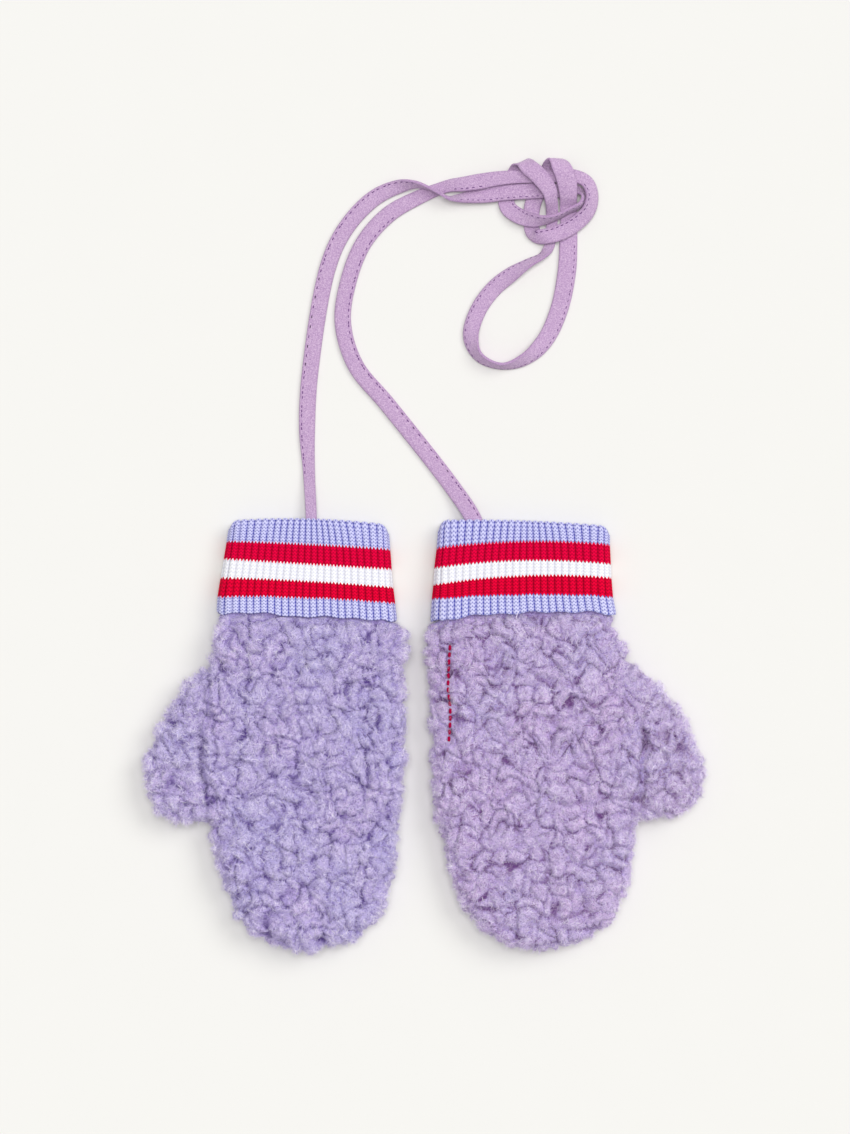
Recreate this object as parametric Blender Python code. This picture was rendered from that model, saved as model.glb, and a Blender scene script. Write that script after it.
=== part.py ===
"""A child's pair of mittens laid flat, thumbs outward, with the tape cord that joins them.

Each mitten is sewn from a back and a palm panel of curly pile fleece, a thumb of two halves set
in the side, and a striped rib cuff that is knitted double and turned down over the wrist.
Sizes are in millimetres in this file and become metres in make_object. +X is to the right, +Y is
from the fingertips to the cuffs and +Z is up from the surface that the pair lies on.
"""

import math
import random

import bmesh
import bpy
import numpy as np
from mathutils import Vector
from mathutils.geometry import delaunay_2d_cdt

MM = 0.001
GAP = 0.3
SEED = 12

SEAM_HEIGHT = 7.4
BACK_RISE = 7.4
THUMB_RISE = 6.0
RIM_EDGE = 0.6
RIM_RADIUS_TOP = 13.0
RIM_RADIUS_UNDER = 7.0
RIM_RADIUS_TUCKED = 4.0
HOLLOW = 0.9

CLUMP_PITCH = 8.2
CLUMP_JITTER = 1.6
CLUMP_RISE = 2.6
CLUMP_LEVEL = 0.6
CLUMP_CROWN = 0.75
CLUMP_APART = 3.3
OUTLINE_WAVE = 1.2
OUTLINE_STEP = 5.0
RIM_RINGS = (1.3, 4.0)
RIM_RING_FIT = 0.9
RIM_RING_APART = 1.5
HEM_ROWS = (0.4, 3.4, 7.0)
HEM_REACH = 0.94
PLAIN_PITCH = 15.0

# How far a face's inner points stay from its edge rings, and from each other.
FIELD_SPACING = {"curly": (1.2, 3.0), "plain": (2.0, 5.0)}

# Distances over which a form fades in: from the rim, from the hem or from the thumb seam.
FADES = {
    "tuck": (-0.4, 7.5),
    "lift": (0.5, 5.0),
    "curl": (0.5, 6.0),
    "crease": (0.0, 8.0),
    "hollow": (2.0, 14.0),
    "wave": (1.0, 9.0),
}

CREASE_DEPTH = 2.6
CREASE_REACH = 4.5

RIB_COUNT_FLAT = 21
RIB_COUNT_END = 5
RIB_PROFILE = (0.0, 0.8, 1.0, 0.8)
RIB_RISE = 0.75
CUFF_UNDER_STEPS = 10
CUFF_LAYER = 1.5
CUFF_LAYER_GAP = 0.4
CUFF_INNER_LAYER = 1.3
CUFF_HOLLOW = 2.2
CUFF_TUCK = 7.0
CUFF_CORNER = 3.0
CUFF_CORNER_START = 0.89
CUFF_CORNER_FADE = 3.0
CUFF_CROWN = 0.5
END_ARC = math.radians(160.0)

# Inside the cuff the fleece's sides stay this far in from the tube's, at the tucked end, at
# the hem and where it comes out again.
TUCK_INSET_END = 2.3
TUCK_INSET_HEM = 2.5
TUCK_LIP = 0.7

# Rows of the cuff's wall near its fold: distance down from the mouth, and depth of the face.
FOLD_OUTER = ((3.0, 0.0), (1.0, 0.4))
FOLD_INNER_DOWN = (0.0, 1.0, 3.0)
FOLD_INNER_BACK = 2.4
FOLD_ROUNDING = 0.4

# Rows of a cuff, from the fold at its mouth to its turned-down hem. left and right are the
# flattened tube's sides, the three y columns are the row's height at its left side, middle and
# right side, and thick is the tube's whole thickness there.
CUFF_COLUMNS = ("left", "right", "y_left", "y_middle", "y_right", "thick")
CUFF_ROWS = {
    "left": (
        (-77.6, -14.6, 85.4, 86.2, 83.8, 8.6),
        (-78.6, -14.0, 77.8, 76.6, 74.6, 9.2),
        (-79.7, -13.4, 70.7, 68.6, 66.6, 9.8),
        (-81.0, -12.8, 63.2, 61.8, 59.3, 10.6),
        (-82.2, -12.0, 55.5, 55.2, 53.0, 11.4),
        (-82.6, -11.2, 49.0, 47.8, 45.8, 12.0),
    ),
    "right": (
        (6.2, 74.0, 85.6, 85.4, 83.2, 8.6),
        (5.6, 74.0, 75.3, 77.8, 76.6, 9.2),
        (4.6, 74.4, 67.1, 70.0, 68.6, 9.8),
        (4.2, 74.6, 60.3, 64.0, 63.2, 10.6),
        (3.6, 75.2, 54.7, 56.4, 55.5, 11.4),
        (3.0, 76.6, 45.6, 49.2, 48.2, 12.0),
    ),
}

# Rows of a hand, from just under its cuff to near its tip: y, then the x of both sides.
HAND_ROWS = {
    "left": (
        (43.8, -82.8, -9.6),
        (38.2, -84.2, -8.0),
        (28.6, -85.8, -7.8),
        (15.8, -86.8, -7.6),
        (3.0, -87.8, -7.2),
        (-9.8, -88.0, -7.6),
        (-22.6, -87.2, -8.6),
        (-34.6, -86.0, -10.0),
        (-45.0, -83.8, -11.0),
        (-54.6, -82.0, -11.8),
        (-62.6, -79.2, -13.8),
        (-69.8, -76.0, -16.6),
        (-76.2, -72.4, -20.4),
        (-81.0, -66.8, -26.0),
        (-84.2, -59.6, -33.2),
    ),
    "right": (
        (43.8, 1.8, 76.0),
        (38.2, 0.8, 78.8),
        (31.8, 1.2, 81.2),
        (22.2, 1.6, 83.6),
        (9.4, 2.0, 85.6),
        (-3.4, 2.6, 86.8),
        (-16.2, 3.4, 87.2),
        (-25.8, 4.0, 87.0),
        (-33.8, 5.2, 85.6),
        (-41.8, 7.2, 84.2),
        (-49.8, 9.6, 83.6),
        (-57.8, 11.4, 82.4),
        (-65.0, 14.2, 79.2),
        (-71.4, 17.6, 76.6),
        (-77.0, 22.0, 73.2),
        (-81.0, 27.0, 65.6),
        (-84.2, 34.4, 56.0),
    ),
}
HAND_TIP = {"left": (-45.6, -86.4), "right": (45.2, -86.4)}

# The free edge of a thumb, from where it leaves the side of the hand to the crotch.
THUMB_EDGE = {
    "left": (
        (-88.8, 26.6),
        (-92.4, 23.0),
        (-97.2, 17.4),
        (-101.6, 11.4),
        (-105.2, 5.4),
        (-108.4, -1.0),
        (-111.0, -6.6),
        (-111.6, -13.0),
        (-111.2, -19.4),
        (-109.4, -25.8),
        (-106.8, -30.6),
        (-102.8, -33.4),
        (-96.8, -34.6),
        (-90.8, -34.8),
    ),
    "right": (
        (85.0, 29.0),
        (88.8, 25.4),
        (94.4, 19.0),
        (100.0, 12.6),
        (104.4, 6.2),
        (106.8, -0.2),
        (109.6, -5.8),
        (111.8, -12.2),
        (112.0, -18.6),
        (109.6, -25.0),
        (106.4, -29.0),
        (101.2, -31.8),
        (94.8, -33.0),
        (89.6, -33.2),
    ),
}
THUMB_SIDE = {"left": -1, "right": 1}

# The tape's route from inside the left cuff, by way of the overhand knot and its loop, to
# inside the right one. x and y are its centreline, lift is its lower edge above the surface,
# roll turns it about its own line and facing, where given, is the azimuth of its width instead,
# which is how it is folded over.
TAPE_THICKNESS = 1.3
TAPE_EDGE = 0.5
TAPE_CLEAR = 0.05
TAPE_STEPS = 3
CORD_COLUMNS = ("x", "y", "lift", "roll", "width", "facing")
CORD_ROWS = (
    (-45.4, 70.2, 4.3, 0, 4.4, None),
    (-45.2, 86.2, 3.6, 0, 4.4, None),
    (-46.2, 105.4, 0.3, 0, 4.8, None),
    (-47.0, 123.0, 0.1, 0, 6.4, None),
    (-45.8, 145.4, 0.1, 0, 6.6, None),
    (-38.4, 188.6, 0.1, 0, 6.6, None),
    (-31.2, 203.8, 0.1, 0, 6.6, None),
    (-20.0, 215.6, 0.1, 0, 6.6, None),
    (-10.0, 220.2, 0.4, 20, 5.6, None),
    (-3.6, 220.8, 2.0, 60, 4.4, None),
    (1.6, 219.4, 2.2, 85, 4.2, None),
    (6.0, 217.4, 2.1, 95, 4.2, None),
    (10.0, 215.4, 1.6, 105, 4.2, None),
    (14.4, 215.4, 0.6, 130, 5.0, None),
    (19.6, 216.2, 0.3, 155, 6.0, None),
    (25.6, 216.8, 1.5, 172, 6.4, None),
    (31.6, 217.6, 2.0, 180, 6.4, None),
    (45.6, 218.4, 1.9, 0, 6.2, None),
    (52.4, 218.4, 1.8, 0, 5.8, None),
    (57.8, 218.8, 0.6, 0, 5.0, None),
    (62.4, 218.4, 0.1, -44, 4.0, None),
    (64.2, 215.8, 0.9, -68, 4.4, None),
    (62.8, 212.8, 2.0, -74, 4.6, None),
    (58.0, 210.2, 2.1, -74, 4.8, None),
    (53.2, 207.8, 2.1, -72, 5.0, None),
    (48.4, 206.5, 2.35, -58, 5.2, None),
    (43.2, 206.6, 2.2, -25, 5.8, None),
    (37.6, 208.6, 1.4, 0, 6.4, None),
    (33.8, 211.8, 0.4, 0, 6.6, None),
    (33.0, 216.2, 0.1, 0, 6.6, None),
    (34.4, 221.4, 0.1, 0, 6.6, None),
    (37.2, 226.2, 0.4, 0, 6.6, None),
    (39.6, 229.6, 2.9, 0, 6.6, 22),
    (42.4, 227.2, 5.5, 0, 6.9, None),
    (46.8, 223.2, 5.4, 0, 7.0, None),
    (50.2, 218.2, 4.4, -8, 6.2, None),
    (51.0, 214.6, 2.9, -20, 5.4, None),
    (51.4, 211.4, 1.2, -10, 5.0, None),
    (51.4, 208.2, 0.15, 0, 4.8, None),
    (50.4, 196.6, 0.1, 0, 4.2, None),
    (47.8, 192.6, 0.1, 55, 4.2, None),
    (42.0, 189.4, 0.1, 50, 5.2, None),
    (35.2, 185.0, 0.1, 22, 6.4, None),
    (28.0, 179.2, 0.1, 0, 6.6, None),
    (21.6, 170.2, 0.1, 0, 6.6, None),
    (18.8, 159.8, 0.1, 25, 6.6, None),
    (22.0, 151.8, 0.1, 60, 6.2, None),
    (31.2, 148.0, 0.1, 75, 6.0, None),
    (40.8, 151.0, 0.1, 45, 6.4, None),
    (48.8, 158.8, 0.1, 8, 6.8, None),
    (54.4, 171.2, 0.1, 0, 7.2, None),
    (57.4, 186.2, 0.1, 0, 7.4, None),
    (58.0, 197.0, 0.1, 0, 7.2, None),
    (58.1, 208.2, 0.1, 0, 6.8, None),
    (58.0, 212.2, 0.8, 0, 7.0, None),
    (57.9, 215.8, 3.2, 0, 7.0, None),
    (57.5, 220.4, 4.7, 0, 7.8, None),
    (55.8, 226.0, 5.5, 0, 7.8, None),
    (52.4, 230.8, 2.9, 0, 7.4, 2),
    (49.8, 225.8, 0.2, 0, 6.6, None),
    (46.4, 219.8, 0.1, 0, 6.6, None),
    (43.8, 213.4, 0.1, 0, 6.6, None),
    (43.0, 207.4, 0.1, 0, 6.4, None),
    (43.4, 203.2, 0.1, 0, 6.2, None),
    (44.8, 200.3, 1.3, 0, 6.2, -52),
    (49.2, 200.2, 2.3, 0, 6.2, None),
    (54.8, 201.8, 2.1, 0, 6.6, None),
    (61.0, 205.3, 1.8, 10, 6.4, None),
    (66.1, 210.6, 1.3, 32, 6.3, None),
    (67.4, 216.8, 1.2, 42, 6.4, None),
    (65.2, 222.0, 1.9, 25, 5.6, None),
    (59.6, 224.4, 2.6, 8, 5.2, None),
    (53.2, 224.0, 3.2, 0, 4.8, None),
    (37.6, 223.8, 3.6, 0, 5.2, None),
    (29.6, 223.2, 3.5, 4, 5.8, None),
    (22.4, 222.0, 2.8, 8, 6.4, None),
    (15.6, 221.0, 2.1, 12, 6.0, None),
    (10.8, 220.6, 1.2, 8, 5.2, None),
    (6.4, 219.4, 0.2, 0, 5.0, None),
    (-2.4, 215.8, 0.1, 0, 5.8, None),
    (-14.0, 209.2, 0.1, 0, 6.6, None),
    (-24.4, 197.4, 0.1, 0, 6.6, None),
    (-30.6, 181.4, 0.1, 0, 6.6, None),
    (-32.6, 165.4, 0.1, 0, 6.6, None),
    (-27.6, 148.6, 0.1, 0, 6.6, None),
    (-14.4, 132.4, 0.1, 0, 6.6, None),
    (11.2, 99.8, 0.6, 0, 6.6, None),
    (20.0, 86.2, 3.6, 0, 6.6, None),
    (25.2, 69.4, 4.5, 0, 6.6, None),
)

# sRGB colours, roughness
FINISHES = {
    "pile_fleece": ("#B0A0CE", 1.0),
    "rib_knit": ("#A9A8EE", 0.9),
    "jersey_tape": ("#CDA9D6", 0.85),
}


def smooth_step(value, start, end):
    """0 before start, 1 after end, and a soft rise between them."""
    t = np.clip((np.asarray(value, float) - start) / (end - start), 0.0, 1.0)
    return t * t * (3.0 - 2.0 * t)


def catmull_rom(points, steps):
    """A smooth open curve through points, with steps samples to each span."""
    points = np.asarray(points, float)
    padded = np.vstack([2 * points[0] - points[1], points, 2 * points[-1] - points[-2]])
    t = np.linspace(0.0, 1.0, steps, endpoint=False)[:, None]
    spans = []
    for p0, p1, p2, p3 in zip(padded, padded[1:], padded[2:], padded[3:]):
        spans.append(
            0.5
            * (
                2 * p1
                + (p2 - p0) * t
                + (2 * p0 - 5 * p1 + 4 * p2 - p3) * t**2
                + (3 * p1 - p0 - 3 * p2 + p3) * t**3
            )
        )
    return np.vstack(spans + [points[-1:]])


def resample(line, step):
    """The same open line with points about one step apart."""
    line = np.asarray(line, float)
    lengths = np.linalg.norm(np.diff(line, axis=0), axis=1)
    along = np.concatenate([[0.0], np.cumsum(lengths)])
    count = max(2, round(along[-1] / step) + 1)
    wanted = np.linspace(0.0, along[-1], count)
    columns = [np.interp(wanted, along, line[:, k]) for k in range(line.shape[1])]
    return np.stack(columns, axis=1)


def centripetal(points, steps):
    """A curve through points that doesn't overshoot where they lie close together."""
    points = np.asarray(points, float)
    padded = np.vstack([2 * points[0] - points[1], points, 2 * points[-1] - points[-2]])
    curve = []
    for p0, p1, p2, p3 in zip(padded, padded[1:], padded[2:], padded[3:]):
        t1 = math.sqrt(np.linalg.norm(p1 - p0))
        t2 = t1 + math.sqrt(np.linalg.norm(p2 - p1))
        t3 = t2 + math.sqrt(np.linalg.norm(p3 - p2))
        for t in np.linspace(t1, t2, steps, endpoint=False):
            a1 = ((t1 - t) * p0 + t * p1) / t1
            a2 = ((t2 - t) * p1 + (t - t1) * p2) / (t2 - t1)
            a3 = ((t3 - t) * p2 + (t - t2) * p3) / (t3 - t2)
            b1 = ((t2 - t) * a1 + t * a2) / t2
            b2 = ((t3 - t) * a2 + (t - t1) * a3) / (t3 - t1)
            curve.append(((t2 - t) * b1 + (t - t1) * b2) / (t2 - t1))
    return np.vstack(curve + [points[-1:]])


def unit(vectors):
    return vectors / np.linalg.norm(vectors, axis=-1, keepdims=True)


def edge_distance(points, segments):
    """Distance in plan from each point to the nearest of the segments."""
    points = np.asarray(points, float)[:, None, :2]
    start, end = segments[None, :, 0], segments[None, :, 1]
    run = end - start
    t = ((points - start) * run).sum(-1) / (run**2).sum(-1)
    nearest = start + np.clip(t, 0.0, 1.0)[..., None] * run
    return np.linalg.norm(points - nearest, axis=-1).min(axis=1)


def segments_of(line):
    return np.stack([line[:-1], line[1:]], axis=1)


def inside(points, outline):
    """True for each point that lies inside the closed outline."""
    points = np.asarray(points, float)
    x, y = points[:, 0, None], points[:, 1, None]
    x0, y0 = outline[:, 0], outline[:, 1]
    x1, y1 = np.roll(x0, -1), np.roll(y0, -1)
    level = np.where(y1 == y0, 1.0, y1 - y0)
    crosses = ((y0 > y) != (y1 > y)) & (x < (x1 - x0) * (y - y0) / level + x0)
    return crosses.sum(axis=1) % 2 == 1


class Clumps:
    """The curls of the fleece: uneven rounded cells with soft furrows between them."""

    def __init__(self, low, high):
        rng = random.Random(SEED)
        self.cells = {}
        row_step = CLUMP_PITCH * math.sqrt(3.0) / 2.0
        columns = int((high[0] - low[0]) / CLUMP_PITCH) + 4
        rows = int((high[1] - low[1]) / row_step) + 4
        for j in range(rows):
            for i in range(columns):
                x = low[0] + CLUMP_PITCH * (i - 1 + 0.5 * (j % 2))
                y = low[1] + row_step * (j - 1)
                shift = [rng.uniform(-CLUMP_JITTER, CLUMP_JITTER) for _ in range(2)]
                self.cells[i, j] = np.array([x + shift[0], y + shift[1]])
        self.seeds = np.array(list(self.cells.values()))

    def lift(self, points):
        """0 in the furrows to 1 on the crown of a curl."""
        points = np.asarray(points, float)[:, None, :2]
        near = np.sort(np.linalg.norm(points - self.seeds[None], axis=-1), axis=1)[:, :2]
        across = np.clip((near[:, 1] - near[:, 0]) / (CLUMP_CROWN * CLUMP_PITCH), 0.0, 1.0)
        return 1.0 - (1.0 - across) ** 2

    def points(self):
        """The crowns of the curls and the pits where three of them meet."""
        found = []
        for (i, j), seed in self.cells.items():
            found.append(seed)
            side = i + (j % 2)
            right = self.cells.get((i + 1, j))
            upper_right = self.cells.get((side, j + 1))
            upper_left = self.cells.get((side - 1, j + 1))
            for pair in ((right, upper_right), (upper_right, upper_left)):
                if pair[0] is not None and pair[1] is not None:
                    found.append((seed + pair[0] + pair[1]) / 3.0)
        kept = []
        for point in found:
            if all(math.dist(point, other) > CLUMP_APART for other in kept):
                kept.append(point)
        return np.array(kept)


def plain_points(low, high, pitch):
    """An even lattice for the smooth inner faces."""
    found = []
    row_step = pitch * math.sqrt(3.0) / 2.0
    for j in range(int((high[1] - low[1]) / row_step) + 1):
        for i in range(int((high[0] - low[0]) / pitch) + 1):
            found.append((low[0] + pitch * (i + 0.5 * (j % 2)), low[1] + row_step * j))
    return np.array(found)


def rim_points(outline, distances):
    """Points a little inside the outline, where the pile rolls over the seam."""
    ahead, behind = np.roll(outline, -1, axis=0), np.roll(outline, 1, axis=0)
    along = ahead - behind
    inward = np.stack([-along[:, 1], along[:, 0]], axis=1)
    inward /= np.linalg.norm(inward, axis=1)[:, None]
    edges = segments_of(np.vstack([outline, outline[:1]]))
    kept = []
    for distance in distances:
        ring = outline + inward * distance
        fits = inside(ring, outline) & (edge_distance(ring, edges) > RIM_RING_FIT * distance)
        kept.append(ring[fits])
    return np.vstack(kept)


def triangulate(outline, inner):
    """Triangles over the outline's points and then the inner ones, by their numbers."""
    points = [Vector(point) for point in np.vstack([outline, inner])]
    loop = list(range(len(outline)))
    _, _, faces, origins, _, _ = delaunay_2d_cdt(points, [], [loop], 1, 1e-5)
    return [[origins[corner][0] for corner in face] for face in faces]


def spread(points, taken, pitch):
    """The points that lie at least one pitch from those already taken."""
    if not len(points):
        return points
    far = np.linalg.norm(points[:, None] - taken[None], axis=-1).min(axis=1) > pitch
    return points[far]


def srgb_to_linear(code):
    channels = [int(code[k : k + 2], 16) / 255.0 for k in (1, 3, 5)]
    linear = [c / 12.92 if c <= 0.04045 else ((c + 0.055) / 1.055) ** 2.4 for c in channels]
    return (*linear, 1.0)


def make_material(name, finish):
    code, roughness = FINISHES[finish]
    material = bpy.data.materials.new(name)
    material.use_nodes = True
    shader = material.node_tree.nodes["Principled BSDF"]
    shader.inputs["Base Color"].default_value = srgb_to_linear(code)
    shader.inputs["Roughness"].default_value = roughness
    shader.inputs["Metallic"].default_value = 0.0
    return material


def make_object(name, points, faces, finish):
    """One closed solid from points in millimetres, with its faces turned outward."""
    mesh = bpy.data.meshes.new(name)
    mesh.from_pydata((np.asarray(points) * MM).tolist(), [], faces)
    work = bmesh.new()
    work.from_mesh(mesh)
    bmesh.ops.recalc_face_normals(work, faces=work.faces)
    work.to_mesh(mesh)
    work.free()
    mesh.shade_smooth()
    mesh.materials.append(make_material(name, finish))
    obj = bpy.data.objects.new(name, mesh)
    bpy.context.scene.collection.objects.link(obj)
    return obj


class Cuff:
    """The flattened rib tube. down is the distance from its mouth, towards the fingertips."""

    def __init__(self, side):
        self.rows = np.array(CUFF_ROWS[side], float)
        middle = self.rows[:, CUFF_COLUMNS.index("y_middle")]
        self.stations = middle[0] - middle
        self.length = self.stations[-1]

    def section(self, down):
        values = [np.interp(down, self.stations, column) for column in self.rows.T]
        row = dict(zip(CUFF_COLUMNS, values))
        row["centre"] = (row["left"] + row["right"]) / 2.0
        row["half"] = (row["right"] - row["left"]) / 2.0
        return row

    def y_at(self, down, across):
        """Height in the plan of the row at down, where across runs from -1 to 1."""
        row = self.section(down)
        tilt = (row["y_right"] - row["y_left"]) / 2.0
        arch = (row["y_right"] + row["y_left"]) / 2.0 - row["y_middle"]
        round_off = max(0.0, abs(across) - CUFF_CORNER_START) / (1.0 - CUFF_CORNER_START)
        turned = 1.0 - math.sqrt(max(0.0, 1.0 - round_off**2))
        corner = CUFF_CORNER * math.exp(-down / CUFF_CORNER_FADE) * turned
        return row["y_middle"] + tilt * across + arch * across**2 - corner

    def point(self, down, along, angle, depth):
        """A point depth inside the smooth outer face; along is -1 to 1 on the flat stretch."""
        row = self.section(down)
        radius = row["thick"] / 2.0 - depth
        flat = row["half"] - row["thick"] / 2.0
        offset = flat * along + radius * math.cos(angle)
        across = max(-1.0, min(1.0, offset / row["half"]))
        height = row["thick"] / 2.0 + radius * math.sin(angle)
        if angle == math.pi / 2.0:
            height += CUFF_CROWN * (1.0 - along**2)
        return (row["centre"] + offset, self.y_at(down, across), height)

    def hollow_depth(self, down):
        """Depth of the inner layer's inner face, which leaves an even hollow for the hand."""
        return (self.section(down)["thick"] - CUFF_HOLLOW) / 2.0

    def columns(self):
        """Round the tube: (along, angle, rib height, is a groove)."""
        quarter = math.pi / 2.0
        steps_flat = RIB_COUNT_FLAT * len(RIB_PROFILE)
        steps_end = RIB_COUNT_END * len(RIB_PROFILE)
        found = []
        for i in range(steps_flat):
            rib = RIB_PROFILE[i % len(RIB_PROFILE)]
            found.append((2.0 * i / steps_flat - 1.0, quarter, rib, i % len(RIB_PROFILE) == 0))
        for i in range(steps_end):
            rib = RIB_PROFILE[i % len(RIB_PROFILE)]
            fade = 1.0 - (i / steps_end) ** 2
            turn = quarter - END_ARC * i / steps_end
            found.append((1.0, turn, rib * fade, i % len(RIB_PROFILE) == 0))
        found.append((1.0, quarter - END_ARC, 0.0, True))
        for i in range(CUFF_UNDER_STEPS + 1):
            found.append((1.0 - 2.0 * i / CUFF_UNDER_STEPS, -quarter, 0.0, True))
        for i in range(steps_end):
            rib = RIB_PROFILE[i % len(RIB_PROFILE)]
            fade = 1.0 - (1.0 - i / steps_end) ** 2
            turn = -3.0 * quarter + END_ARC - END_ARC * i / steps_end
            found.append((-1.0, turn, rib * fade, i % len(RIB_PROFILE) == 0))
        return found


def make_cuff(side):
    """The tube's wall is a hairpin: ribbed outer layer, fold at the mouth, inner layer."""
    cuff = Cuff(side)
    columns = cuff.columns()
    end = cuff.length - CUFF_TUCK
    ribbed_rows = [(down, 0.0) for down in cuff.stations[:0:-1]] + list(FOLD_OUTER)
    mouth, lip, neck = FOLD_INNER_DOWN
    plain_rows = [
        (mouth, cuff.hollow_depth(mouth) / 2.0),
        (lip, cuff.hollow_depth(mouth) - FOLD_ROUNDING),
    ]
    for down in (neck, end / 2.0, end):
        plain_rows.append((down, cuff.hollow_depth(down)))
    for down in (end, end / 2.0, FOLD_INNER_BACK):
        plain_rows.append((down, cuff.hollow_depth(down) - CUFF_INNER_LAYER))
    for down in (FOLD_INNER_BACK, end / 2.0, cuff.length):
        plain_rows.append((down, CUFF_LAYER))
    points, faces, fine_rows, coarse_rows = [], [], [], []
    for row, (down, depth) in enumerate(ribbed_rows):
        start = len(points)
        for along, angle, rib, _ in columns:
            rise = RIB_RISE * rib * (0.5 if depth else 1.0)
            points.append(cuff.point(down, along, angle, depth - rise))
        fine_rows.append(list(range(start, len(points))))
    grooves = [number for number, column in enumerate(columns) if column[3]]
    for down, depth in plain_rows:
        start = len(points)
        for number in grooves:
            along, angle, _, _ = columns[number]
            points.append(cuff.point(down, along, angle, depth))
        coarse_rows.append(list(range(start, len(points))))
    for rows in (fine_rows, coarse_rows):
        for one, two in zip(rows, rows[1:]):
            count = len(one)
            for k in range(count):
                after = (k + 1) % count
                faces.append((one[k], one[after], two[after], two[k]))
    faces += stitch(fine_rows[-1], coarse_rows[0], grooves)
    faces += stitch(fine_rows[0], coarse_rows[-1], grooves)
    return make_object(f"{side}_cuff", points, faces, "rib_knit")


def stitch(fine, coarse, grooves):
    """Triangles between a row with every column and a row with the grooves' columns alone."""
    faces = []
    total = len(fine)
    for k, start in enumerate(grooves):
        end = grooves[(k + 1) % len(grooves)] + (total if k + 1 == len(grooves) else 0)
        here, there = coarse[k], coarse[(k + 1) % len(coarse)]
        middle = (start + end) // 2
        for column in range(start, end):
            foot = here if column < middle else there
            if end - start == 1:
                foot = here
            faces.append((foot, fine[column % total], fine[(column + 1) % total]))
        turn = fine[middle % total] if end - start > 1 else fine[end % total]
        faces.append((here, turn, there))
    return faces


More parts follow.
